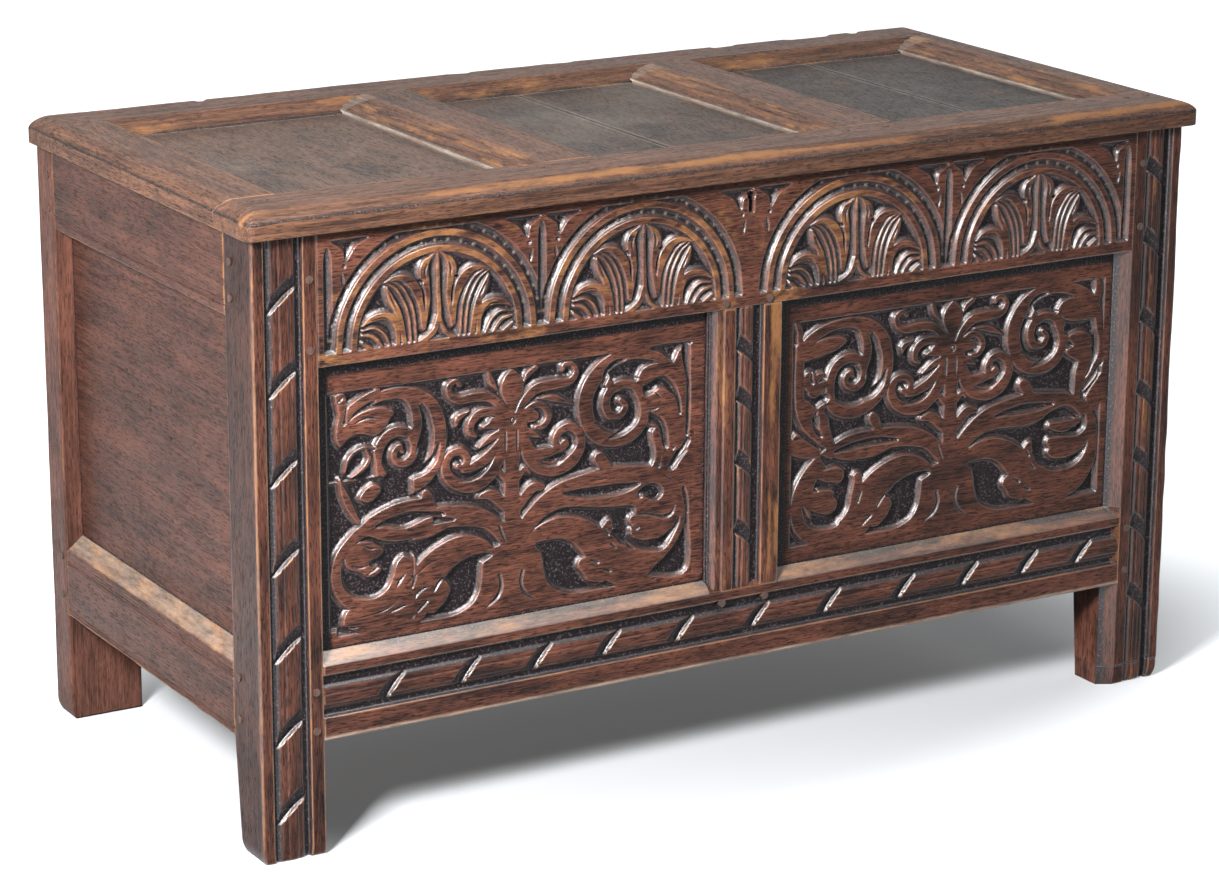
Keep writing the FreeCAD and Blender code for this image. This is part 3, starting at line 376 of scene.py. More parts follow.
def carve_left_branch(r):
    """Long leafy branch that runs down to the left."""
    r.keep(
        [(0, 305, 22), (-14, 322, 20), (-30, 337, 20), (-52, 346, 24), (-81, 350, 26), (-111, 350, 28),
         (-138, 350, 24), (-161, 345, 16), (-179, 334, 20), (-194, 316, 24), (-202, 296, 28),
         (-203, 275, 28), (-194, 257, 26), (-176, 247, 22), (-156, 246, 22), (-136, 254, 24),
         (-124, 270, 26), (-114, 290, 24)],
        [(-76, 344, 10), (-111, 339, 19), (-138, 337, 14), (-154, 338, 7), (-164, 341, 1)],
        [(-100, 362, 10), (-106, 373, 15), (-108, 378, 12)],
        [(-124, 278, 26), (-128, 295, 16), (-127, 309, 15)],
        [(-24, 304, 6), (-41, 312, 18), (-64, 314, 28), (-86, 306, 34), (-104, 292, 40), (-119, 272, 46),
         (-134, 252, 40), (-151, 240, 20)],
        [(-101, 262, 30), (-88, 270, 18), (-88, 274, 16)],
        [(-176, 296, 10), (-162, 296, 9)])
    r.sink(
        [(-158, 344, 2), (-136, 347, 6), (-114, 348.5, 7), (-94, 348, 6), (-74, 346, 1)],
        [(-200, 284, 1), (-192, 268, 5), (-179, 264, 13), (-162, 266, 16), (-148, 276, 16),
         (-143, 292, 14), (-140, 306, 14), (-142, 320, 14), (-128, 325, 10), (-108, 325, 9),
         (-91, 331, 3)],
        [(-176, 340, 3), (-168, 334, 6), (-160, 332, 5), (-150, 331, 4)])
    r.keep(
        [(-186, 322, 8), (-170, 318, 16), (-156, 317, 20), (-154, 315, 18)],
        [(-200, 296, 14), (-184, 290, 24), (-170, 285, 26), (-164, 283, 22)],
        [(-178, 298, 9), (-162, 297, 8)])
    r.sink(
        [(-28, 300), (-38, 303), (-61, 299), (-76, 293), (-78, 284), (-77, 272), (-84, 259), (-94, 250),
         (-100, 244), (-76, 245), (-61, 248), (-51, 256), (-45, 266), (-43, 280), (-42, 292)],
        [(-182, 308, 1), (-170, 306, 4), (-154, 303, 5), (-142, 300, 4)])


def carve_right_branch(r):
    """Long leafy branch that runs down to the right."""
    r.keep(
        [(0, 305, 22), (14, 325, 22), (32, 342, 24), (54, 352, 30), (82, 355, 36), (109, 356, 40),
         (136, 358, 30), (162, 357, 24), (182, 346, 24), (195, 328, 26), (199, 306, 24), (195, 284, 28),
         (180, 266, 34), (156, 258, 38), (132, 262, 40), (114, 274, 34), (102, 290, 30)],
        [(108, 376, 16), (101, 386, 16)],
        [(14, 305, 6), (29, 313, 20), (52, 317, 26), (74, 311, 30), (92, 297, 36), (109, 278, 44),
         (127, 262, 44), (144, 252, 30)],
        [(99, 262, 34), (86, 269, 18), (82, 272, 16)],
        [(109, 305, 16), (113, 311, 14)])
    r.sink(
        [(62, 354, 1), (79, 356, 6), (102, 357, 10), (124, 357, 7), (144, 357.5, 1)],
        [(127, 291, 2), (139, 290, 10), (154, 284, 10), (170, 283, 10), (184, 290, 10), (191, 302, 8),
         (192, 310, 2)],
        [(59, 333, 1), (84, 331, 6), (104, 330, 10), (124, 325, 20), (129, 310, 24), (132, 298, 22),
         (138, 290, 12)],
        [(134, 342, 4), (148, 346, 8), (164, 347, 9), (176, 341, 6), (182, 336, 3)],
        [(190, 336, 3), (187, 325, 10), (180, 318, 10), (170, 317, 4)])
    r.keep(
        [(182, 334, 6), (172, 330, 12), (158, 328, 15), (142, 331, 9)],
        [(196, 318, 10), (184, 306, 20), (169, 303, 26), (154, 306, 24), (142, 312, 12)],
        [(164, 300, 22), (150, 298, 16), (141, 300, 8)])
    r.sink(
        [(26, 303), (42, 304), (57, 300), (70, 291), (77, 281), (74, 270), (79, 259), (89, 251),
         (104, 246), (84, 246), (64, 248), (49, 256), (40, 266), (37, 278), (35, 292)])


def carve_left_scroll(r):
    """Upper left scroll, with the leaves at its outer side."""
    r.keep(
        [(-208, 455, 10), (-200, 472, 14), (-184, 483, 14), (-161, 490, 13), (-136, 490, 15),
         (-114, 483, 17), (-99, 470, 18), (-91, 450, 17), (-91, 428, 17), (-98, 408, 17), (-112, 394, 16),
         (-131, 387, 16), (-150, 389, 16), (-164, 399, 15), (-167, 414, 13), (-165, 432, 13),
         (-156, 445, 13), (-142, 450, 13), (-128, 446, 13), (-121, 434, 12), (-124, 421, 11),
         (-134, 415, 10), (-144, 419, 9), (-146, 428, 8), (-139, 433, 9), (-135, 429, 8)],
        [(-134, 487, 12), (-122, 474, 12), (-118, 458, 14), (-119, 440, 14)],
        [(-208, 470, 12), (-208, 445, 14), (-208, 420, 14), (-204, 396, 16), (-194, 378, 18),
         (-179, 362, 16), (-164, 352, 12)],
        [(-204, 458, 12), (-182, 466, 20), (-162, 469, 18), (-149, 471, 8)],
        [(-200, 428, 12), (-196, 437, 10), (-189, 437, 6)],
        [(-194, 424, 14), (-184, 433, 10), (-177, 436, 6)],
        [(-188, 418, 18), (-177, 423, 12), (-171, 427, 5)],
        [(-200, 400, 20), (-186, 393, 12), (-176, 398, 9), (-169, 404, 3)],
        [(-179, 396, 6), (-175, 384, 14), (-173, 372, 15), (-167, 358, 12)],
        [(-212, 372), (-202, 369), (-190, 359), (-176, 350), (-186, 340), (-212, 345), (-221, 358)])
    r.sink(
        [(-112, 474, 2), (-107, 461, 8), (-107, 447, 10), (-112, 434, 9), (-119, 423, 1)],
        [(-92, 430, 1), (-99, 414, 7), (-112, 405, 10), (-128, 404, 11), (-143, 407, 9), (-152, 416, 6),
         (-154, 428, 5), (-149, 436, 3)],
        [(-131, 440, 3), (-133, 436, 4), (-132, 428, 3)],
        [(-154, 482), (-141, 484), (-130, 478), (-126, 464), (-126, 452), (-136, 458), (-148, 459),
         (-158, 461), (-148, 466), (-145, 473)],
        [(-190, 404, 1), (-182, 407, 7), (-173, 408, 9)],
        [(-185, 393, 2), (-187, 384, 4), (-184, 373, 4), (-177, 364, 1)],
        [(-214, 392, 3), (-209, 379, 4), (-196, 365, 4), (-179, 352, 2)],
        [(-200, 448, 1), (-190, 449, 5), (-178, 451, 9), (-168, 455, 5)],
        [(-192, 440, 1), (-192, 433, 2), (-190, 427, 1)])


def carve_right_scroll(r):
    """Upper right scroll, with the leaves at its outer side."""
    r.keep(
        [(207, 440, 10), (202, 462, 14), (188, 480, 16), (166, 491, 16), (139, 495, 14), (114, 490, 18),
         (94, 474, 20), (84, 452, 20), (87, 428, 20), (100, 410, 18), (122, 403, 16), (141, 407, 14),
         (153, 421, 14), (154, 441, 16), (144, 457, 14), (127, 463, 13), (112, 457, 12), (108, 443, 12),
         (114, 431, 12), (125, 430, 10), (131, 439, 9), (126, 446, 8)],
        [(109, 482, 4), (110, 468, 10), (116, 462, 10)],
        [(200, 470, 14), (184, 470, 22), (168, 474, 17), (155, 474, 11), (148, 469, 6)],
        [(200, 458, 12), (182, 461, 20), (164, 462, 18), (151, 464, 10), (143, 462, 5)],
        [(206, 455, 10), (207, 430, 12), (207, 405, 12), (200, 385, 14), (186, 372, 14)],
        [(192, 424, 12), (184, 427, 26), (172, 432, 15), (162, 433, 6)],
        [(188, 410, 22), (174, 415, 18), (163, 417, 9)],
        [(188, 420, 16), (187, 402, 20), (182, 388, 17), (180, 374, 15), (178, 362, 12)],
        [(190, 356), (194, 366), (204, 378), (216, 388), (218, 360), (210, 346), (200, 340)],
        [(202, 497, 8), (204, 486, 12), (200, 474, 12)],
        [(-212, 497, 8), (-208, 488, 10), (-208, 478, 10)])
    r.sink(
        [(105, 466, 2), (110, 479, 8), (119, 486, 8), (130, 490, 1)],
        [(124, 484), (139, 487), (159, 485), (146, 481), (139, 472), (128, 471), (120, 473)],
        [(96, 426, 2), (109, 423, 6), (124, 423, 5), (132, 428, 2)],
        [(112, 407, 1), (128, 411, 5), (140, 420, 7), (145, 432, 6), (142, 440, 3)],
        [(119, 452, 2), (129, 455, 6), (138, 451, 7), (139, 445, 2)],
        [(158, 449), (172, 451), (186, 449), (196, 442), (198, 428), (192, 436), (182, 440), (172, 440),
         (164, 438), (157, 440)],
        [(184, 366, 2), (194, 377, 4), (204, 388, 5), (212, 398, 3)],
        [(200, 440, 1), (203, 425, 4), (202, 408, 5), (194, 392, 1)])


def carve_gouges(r):
    """Veins and eyes cut with the gouge."""
    r.gouge(
        vein_depth,
        [(-18, 277, 4), (-16, 264, 5), (-22, 252, 5), (-36, 243, 1)],
        [(10, 277, 4), (8, 264, 4), (13, 252, 4), (24, 243, 1)],
        [(-126, 280, 3), (-122, 292, 3)],
        [(-119, 253, 3), (-108, 262, 4)],
        [(-99, 272, 3), (-90, 283, 4), (-77, 286, 1)],
        [(91, 275, 3), (99, 271, 4)],
        [(107, 262, 3), (114, 259, 3)],
        [(108, 306, 3), (112, 300, 3)],
        [(115, 289, 3), (120, 284, 2)],
        [(-10, 432, 2), (-10, 420, 3), (-10, 410, 1)],
        [(4, 432, 2), (4, 420, 3), (4, 410, 1)],
        [(-4, 443, 1.5), (-1, 446.5, 1.5), (2, 443, 1.5), (-1, 439.5, 1.5), (-4, 443, 1.5)],
        [(-70, 386, 1), (-56, 386, 4), (-42, 389, 4), (-33, 394, 1)],
        [(28, 395, 1), (38, 389, 4), (51, 388, 4), (61, 395, 4), (62, 400, 1)],
        [(-18, 330, 3), (-14, 320, 3), (-10, 312, 1)])


def carve_panel(r, stem_x, lay):
    """Scrolled panel round an upright stem; heights are those of the right-hand panel."""
    r.lay = lambda x, z: lay(x, z, stem_x)
    r.sink_field(-216, 211, 242, 498)
    carve_crown(r)
    carve_foot(r)
    carve_left_branch(r)
    carve_right_branch(r)
    carve_left_scroll(r)
    carve_right_scroll(r)
    carve_gouges(r)


def right_panel_lay(x, z, stem_x):
    return x + stem_x, z


def left_panel_lay(x, z, stem_x):
    """The left panel is a little wider on its right side and taller."""
    return stem_x + x * np.where(x < 0, 0.97, 1.05), 235 + (z - 242) * (260 / 256)


LEFT_BRANCH = [
    (-380, 371), (-392, 371), (-405, 371), (-420, 370), (-432, 367.5), (-445, 363), (-456, 358),
    (-465, 351.5), (-475, 345), (-484, 337), (-492, 328), (-497, 319), (-500, 308), (-501, 296),
    (-498, 284), (-492, 273), (-483, 263), (-470, 255), (-455, 251), (-440, 253), (-428, 258),
    (-418, 266), (-410, 276), (-404, 288), (-403, 300), (-405, 306), (-410, 310), (-415, 311),
    (-420, 308), (-425, 301), (-428, 291), (-433, 280), (-442, 272.5), (-455, 270), (-470, 273),
    (-480, 281), (-486, 292), (-487, 305), (-484, 316), (-478, 325), (-468, 333), (-458, 337),
    (-450, 335), (-440, 330), (-420, 326), (-400, 327), (-385, 329), (-380, 330),
]
BRANCH_SLOT = [
    (-447, 347), (-435, 352), (-420, 355), (-405, 356.5), (-385, 353), (-368, 350), (-368, 346),
    (-380, 348.5), (-392, 346.5), (-403, 343), (-413, 341), (-425, 343), (-437, 346),
]
LEAF_IN_THE_CURL = [
    (-478, 330), (-466, 334), (-452, 332), (-445, 327), (-438, 322), (-441, 315), (-449, 312),
    (-455, 308), (-451, 304), (-443, 303), (-440, 299), (-447, 294), (-456, 292), (-463, 297),
    (-470, 301), (-478, 304), (-484, 311), (-484, 320),
]
FOOT_OF_THE_FIELD = [
    (-478, 241), (-487, 250), (-478, 262), (-455, 253), (-430, 258), (-404, 285), (-404, 241),
]
TOP_LEAF = [
    (-493, 494), (-485, 497), (-479, 493), (-479, 480), (-481, 470), (-483, 462), (-472, 469),
    (-462, 473.5), (-450, 476), (-440, 476), (-431, 473.5), (-427, 466), (-431, 456), (-438, 448.5),
    (-447, 444.5), (-458, 447.5), (-468, 449), (-478, 445), (-487, 438), (-492, 446), (-492, 460),
    (-489, 472), (-491, 484),
]
TOP_ARCH = [
    (-479, 479), (-470, 486), (-460, 491), (-450, 494.5), (-440, 496.5), (-440, 484.5), (-450, 482),
    (-460, 478), (-470, 472), (-480, 461),
]
TORN_LEAF = [(-466, 379), (-461, 388), (-450, 394), (-440, 390), (-443, 381), (-455, 374)]


def carve_left_side(r):
    """The curled branch and the leaves along the left side of the left panel."""
    r.lay = as_drawn
    r.sink_field(-501, -404, 241, 400)
    r.sink_field(-501, -447, 400, 496)
    r.keep(LEFT_BRANCH, FOOT_OF_THE_FIELD)
    r.sink(BRANCH_SLOT)
    r.keep(LEAF_IN_THE_CURL, TOP_ARCH, TOP_LEAF, TORN_LEAF)
    r.keep([(-448, 432, 4), (-459, 434, 5), (-470, 431, 5), (-478, 423, 5), (-482, 411, 3)],
           [(-457, 432, 4), (-453, 423, 6), (-458, 414, 6), (-467, 408, 4), (-474, 404, 2)],
           [(-488, 404, 3), (-483, 388, 9), (-476, 371, 10), (-467, 355, 6)],
           [(-446, 428, 7), (-443, 415, 8), (-437, 403, 8)])
    r.gouge(
        vein_depth,
        [(-462, 329, 1.5), (-455, 325, 3.4), (-444, 323, 1)],
        [(-476, 309, 1), (-468, 306, 3.4), (-456, 306, 1.2)],
        [(-458, 296, 1), (-450, 300, 3.2), (-440, 304, 1)],
        [(-433, 250, 1), (-422, 253.5, 3.4), (-411, 256, 1)],
        [(-402, 261, 1.5), (-398, 267, 4.2), (-391, 270.5, 3), (-384, 271, 1)],
        [(-424, 277, 1), (-419, 284, 3.8), (-413, 291, 1)],
        [(-484, 491, 2.5), (-486, 489, 3.5), (-488, 487, 2)],
        [(-470, 462, 1), (-455, 466, 3), (-440, 463, 1)])
    r.gouge(scratch_depth, [(-412, 278, 1), (-400, 287, 1.8), (-386, 296, 1.8), (-370, 301, 1)])


RIGHT_SIDE_WOOD = [
    (-222, 356), (-115, 358), (-80, 356), (-66, 345), (-60, 330), (-60, 236), (-112, 236), (-130, 268),
    (-140, 282), (-136, 300), (-133, 318), (-142, 322), (-160, 323.5), (-180, 326), (-200, 330),
    (-222, 335),
]
BY_THE_SCROLL = [
    (-124, 456), (-116, 462), (-60, 462), (-60, 384), (-84, 380), (-98, 400), (-116, 428), (-124, 440),
]
SCROLL_CRESCENT = [
    (-123, 453), (-114, 457), (-106, 461), (-96, 461), (-88, 455), (-83, 448), (-79, 438), (-76.5, 428),
    (-76, 417), (-78, 424), (-80, 432), (-83, 439), (-88, 443), (-94, 448), (-104, 450), (-110, 446),
    (-120, 444),
]
TONGUE_CRESCENT = [
    (-115, 422), (-106, 419), (-98, 412), (-94, 402), (-92, 390), (-92.5, 381), (-97, 386), (-97.6, 396),
    (-102, 406), (-107, 410), (-114, 412),
]
SMALL_TONGUE = [
    (-112, 402), (-106, 406.5), (-101, 401), (-98, 390), (-99, 378), (-102, 362), (-112, 362),
    (-108.5, 372), (-109, 384), (-112, 394),
]
LOWER_SLOT = [
    (-222, 349), (-205, 350), (-190, 349.5), (-160, 349), (-140, 347.5), (-127, 346), (-132, 343),
    (-145, 339), (-165, 337.5), (-190, 339), (-205, 342), (-218, 346.5),
]
EYE = [
    (-122, 341), (-113, 343), (-105, 341), (-99, 336), (-98, 330), (-102, 326), (-108, 325.5),
    (-114, 328.5), (-121, 331.5), (-127, 330), (-128, 336),
]
LOW_CURL = [
    (-142, 291), (-134, 284), (-131, 283), (-120, 279.5), (-100, 280), (-88, 286), (-82, 292), (-77, 300),
    (-77, 294), (-84, 281), (-92, 270), (-100, 266.5), (-114, 268), (-126, 272), (-138, 279), (-147, 287),
]
RIGHT_CORNER = [
    (-66.5, 306), (-69, 292), (-75, 278), (-84, 266), (-95, 256), (-104, 250), (-112, 243), (-112, 239),
    (-66.5, 239),
]
TOP_RIGHT_CORNER = [
    (-113, 496), (-100, 489), (-91, 481), (-86, 477.5), (-83, 482), (-80, 488), (-74, 492), (-66, 494),
    (-66, 496),
]


def carve_right_side(r):
    """The leaves and the curl along the right side of the left panel."""
    r.lay = as_drawn
    r.keep(BY_THE_SCROLL, RIGHT_SIDE_WOOD, [(-67, 236), (-60, 236), (-60, 497), (-67, 497)],
           [(-115, 497), (-60, 497), (-60, 455), (-90, 470)])
    r.sink(SCROLL_CRESCENT, TONGUE_CRESCENT)
    r.keep(SMALL_TONGUE)
    r.sink(LOWER_SLOT, EYE, LOW_CURL, RIGHT_CORNER, TOP_RIGHT_CORNER,
           [(-74, 490), (-66, 494), (-66, 455), (-69, 462), (-72, 474)],
           [(-66.5, 462, 2), (-66, 440, 3), (-66.5, 410, 3), (-67.5, 392, 2)],
           [(-86, 358, 5), (-76, 371, 6), (-66, 386, 5)], [(-71, 332, 2), (-67.5, 318, 3), (-66.5, 304, 2)])
    r.gouge(
        vein_depth,
        [(-134, 311, 1), (-120, 310.5, 3), (-106, 306.5, 4), (-95, 303.5, 5), (-86, 306, 5), (-82, 315, 2)],
        [(-122, 331, 1), (-112, 327, 3), (-104, 325, 3), (-99, 331, 1)],
        [(-119, 428, 1), (-110, 427, 3), (-103, 428, 1)],
        [(-135, 297, 3), (-131, 295, 3.6), (-127, 296, 2)],
        [(-155, 302, 3), (-157, 299, 3.6), (-160, 300, 2)],
        [(-108, 446, 1), (-104, 441, 2.4), (-100, 438, 1)])
    r.gouge(
        scratch_depth,
        [(-143, 277, 1), (-139, 271, 2), (-134, 268, 1)],
        [(-120, 254, 1), (-110, 252.5, 1.8), (-99, 255, 1)],
        [(-98, 353, 1), (-88, 345, 2), (-78, 337, 1)])


# Leaves inside a lunette: x from its middle, z from its base, width.
SPRAY = [
    [(0, 91, 4), (0, 60, 5), (1, 32, 6), (1, 18, 5)],
    [(0, 24, 5), (-4, 10, 7), (-13, 2, 7), (-24, -3, 7)],
    [(1, 24, 5), (6, 10, 5), (13, 2, 5), (24, -3, 5)],
]
SIDE_LEAVES = [
    [(-3, 92, 2), (-10, 86, 5), (-15, 76, 9), (-14, 62, 10), (-12, 44, 7), (-14, 28, 6), (-16, 12, 3)],
    [(-8, 88, 3), (-15, 83, 6), (-19, 75, 5), (-20, 67, 3)],
    [(-61, 67, 2), (-50, 70, 6), (-38, 68, 11), (-28, 60, 13), (-22, 48, 11), (-19, 34, 7), (-18, 14, 4)],
    [(-58, 61, 3), (-54, 50, 8), (-47, 36, 9), (-42, 20, 8), (-39, 2, 7), (-38, -3, 7)],
    [(-58, 66, 1), (-47, 58, 3), (-38, 42, 3.4), (-33, 24, 3.4), (-31, -3, 3.4)],
    [(-55, 68, 1), (-42, 61, 3), (-32, 45, 3.4), (-27, 26, 3.4), (-25, -3, 3.4)],
    [(-86, 24, 2), (-76, 30, 7), (-63, 32, 9), (-52, 28, 10), (-47, 16, 7), (-46, -3, 6)],
    [(-86, 19, 2), (-72, 20, 3), (-61, 12, 3.4), (-54, -3, 3.4)],
    [(-86, 14, 3), (-75, 12, 4.5), (-67, 4, 4.5), (-63, -3, 4)],
    [(-86, 6, 4), (-79, 0, 6), (-74, -4, 6)],
    [(-62, 76, 0.8), (-44, 85, 2), (-24, 91, 2), (-8, 94, 1)],
]
SIDE_VEINS = [
    [(-13, 80, 2), (-15, 73, 3), (-14, 66, 1)],
    [(-17, 54, 3), (-16, 44, 4), (-15, 33, 1)],
    [(-52, 68, 0.6), (-42, 66, 2), (-34, 60, 0.6)],
    [(-55, 54, 0.6), (-51, 45, 2.4), (-47, 38, 0.6)],
    [(-76, 29, 0.6), (-62, 30, 2.2), (-52, 24, 0.6)],
]
EYES = [(-19, 63), (22, 64)]
LUNETTES = ((-379.5, 118.5, 660), (-132.5, 116.5, 661.5), (139.5, 116.5, 661), (387, 115, 660))
lunette_base = 543.5
frieze_top_edge, frieze_foot_edge = 660.5, 543.0
arch_channel_w, arch_band_w, arch_inner_w = 10.0, 7.4, 9.0
leaf_share = 0.86            # width of a finished leaf against its drawn width
full_lunette_rx, full_lunette_rise = 116.5, 117.5
arch_foot_drop = 3           # how far the ends of an arch run on below the base
outer_channel, outer_band, inner_channel, inner_band, leaf_ground = 4, -4.5, -13, -21.5, -14


def arch(cx, rx, rise, width):
    """Half-round band that stands on the base of the lunettes."""
    line = []
    for t in np.radians(np.linspace(0, 180, arch_segments)):
        lift = arch_foot_drop * min(1, math.sin(t) * 4)
        line.append((cx + rx * math.cos(t), lunette_base - arch_foot_drop + rise * math.sin(t) + lift, width))
    return line


def carve_lunette(r, cx, rx, top):
    """Half-round of two raised arches with channels beside them, filled with leaves."""
    rise = top - lunette_base
    r.sink(arch(cx, rx + outer_channel, rise + outer_channel, arch_channel_w))
    turns = np.radians(np.linspace(0, 180, plate_segments))
    across, up = rx + leaf_ground, rise + leaf_ground
    r.sink([(cx + across * math.cos(t), lunette_base + up * max(math.sin(t), 0)) for t in turns])
    r.keep(arch(cx, rx + outer_band, rise + outer_band, arch_band_w))
    r.sink(arch(cx, rx + inner_channel, rise + inner_channel, arch_inner_w))
    r.keep(arch(cx, rx + inner_band, rise + inner_band, arch_band_w))
    wide, tall = rx / full_lunette_rx, rise / full_lunette_rise

    def fitted(line, side=1):
        return [(cx + 1 + side * x * wide, lunette_base + z * tall, w * leaf_share) for x, z, w in line]

    r.keep(*[fitted(line) for line in SPRAY])
    r.keep(*[fitted(line, side) for line in SIDE_LEAVES for side in (1, -1)])
    r.gouge(vein_depth, *[fitted(line, side) for line in SIDE_VEINS for side in (1, -1)])
    r.gouge(eye_depth, *[fitted([(x, z, eye_w), (x + 0.4, z - 0.4, eye_w)]) for x, z in EYES])


def punched_dots(u, v):
    """One on the punched bosses along the floors of the arched channels, zero elsewhere."""
    dots = 0 * u
    for cx, rx, top in LUNETTES:
        for shift in (outer_channel, inner_channel):
            across, up = rx + shift, top - lunette_base + shift
            count = int(math.pi * (across + up) / 2 / punch_gap)
            for t in np.radians(np.linspace(6, 174, count)):
                x, z = cx + across * math.cos(t), lunette_base + up * math.sin(t)
                dots = np.maximum(dots, np.exp(-((u - x) ** 2 + (v - z) ** 2) / punch_r ** 2))
    return dots


SPANDREL_CORNER = [(44, 661), (30, 652), (19, 638), (16, 650), (4, 661)]
SPANDREL_EYE = [(17, 633, eye_w), (17.3, 632.6, eye_w)]
SPANDREL_VEIN = [(14, 625, 2), (15, 618, 4), (16, 611, 1)]
CUT_BELOW_KEYHOLE = [(-8, 622, 1.4), (6, 621, 2.2), (22, 622.5, 1.2)]
WORN_BELOW_KEYHOLE = [(7, 617, 22), (8, 604, 24), (8, 594, 16)]
# Each spandrel: x of its middle, the sides it has, and the width of the channel down its middle.
SPANDRELS = ((-505, (1,), 9.0), (-256, (-1, 1), 9.0), (7, (-1, 1), 0), (263, (-1, 1), 9.0),
             (513, (-1,), 9.0))


def carve_spandrel(r, x, sides, strip):
    """Leaf bud between two lunettes, with a narrow channel down its middle."""
    if strip:
        r.sink([(x, 538, strip), (x, 600, strip), (x, 640, strip - 1), (x, 652, 3)])
    for side in sides:
        middle = x + 2
        r.sink([(middle + side * u, z) for u, z in SPANDREL_CORNER])
        r.gouge(eye_depth, [(middle + side * u, z, w) for u, z, w in SPANDREL_EYE])
        r.gouge(vein_depth, [(middle + side * u, z, w) for u, z, w in SPANDREL_VEIN])


def carve_frieze(r):
    """The top rail's four lunettes with the buds between them, below a plain edge."""
    for x, sides, strip in SPANDRELS:
        carve_spandrel(r, x, sides, strip)
    for middle, rx, top in LUNETTES:
        carve_lunette(r, middle, rx, top)
    heights = r.zs[:, None] + 0 * r.xs[None]
    r.inside = np.maximum(r.inside, np.maximum(heights - frieze_top_edge, frieze_foot_edge - heights))


def keyhole_pit(u, v):
    """How deep the keyhole is cut at each point."""
    round_part = key_r - np.hypot(u - keyhole_x, v - keyhole_z)
    slot_part = np.minimum(key_slot_half - np.abs(u - keyhole_x),
                           np.minimum(keyhole_z - v, v - keyhole_z + key_slot_h))
    return ramp(np.maximum(round_part, slot_part), -0.5, 0.6) * key_depth


def nulled_band(along, across, marks, edges, reed, lean, run, grooves, scoop):
    """Heights of a channel with a reed in it that is cut into blocks by slanting scoops.

    along and across are positions, marks the deepest line of each scoop, edges and reed the two sides
    of the channel and of the reed, lean the slant, and run the side of the mark the scoop lies on."""
    middle = (reed[0] + reed[1]) / 2
    half = (reed[1] - reed[0]) / 2
    off = np.abs(across - middle)
    crest = np.sqrt(np.clip(1 - (off / half) ** 2, 0, 1))
    reed_top = -nulling_depth + (nulling_depth - 0.4) * crest ** 0.8
    for groove in grooves:
        reed_top -= reed_groove_depth * ridge(across - groove, groove_w)
    bow = scoop_bow * (1 - ((across - middle) / half) ** 2)
    floor = np.zeros(along.shape)
    for mark in marks:
        place = (along - mark - lean * (across - middle) - bow * run) * run
        ramp_floor = -(scoop_start + (scoop_depth - scoop_start) * np.clip(1 - place / scoop, 0, 1))
        in_scoop = ramp(place, -1.6, 0.0) * (1 - ramp(place, scoop - 0.8, scoop + 0.3))
        floor = np.where(in_scoop > 0, np.minimum(floor, ramp_floor * in_scoop), floor)
    inner = np.minimum(reed_top, floor)
    depth_in = np.minimum(across - edges[0], edges[1] - across)
    wall = ramp(depth_in, -0.2, 2.2)
    return np.minimum(inner, 0) * wall


def wax_and_shade_in_hollows(band):
    """Old wax and painted shade that darken the scoops and the sides of a nulled channel."""
    return wax_and_shade_in_scoops * ramp(-band, 1.6, 3.0)


# ---- boards --------------------------------------------------------------------------------------
ALONG_X, ALONG_Y, ALONG_Z = 0, 1, 2
OPEN = -6.0                  # level that counts as open air past an edge
PROUD = 6.0                  # level that counts as standing round a sunk panel
feather_share, thinnest = 0.03, 0.3   # a scribed end runs out to this share, and no thinner than this
edge_blur, soil_blur, shine_blur = 2.2, 6.0, 0.7
wear_rise, soil_fall, crevice_fall = 1.6, 3.5, 1.2
shine_slope = (0.2, 0.65)
back_edge_r = 1.6


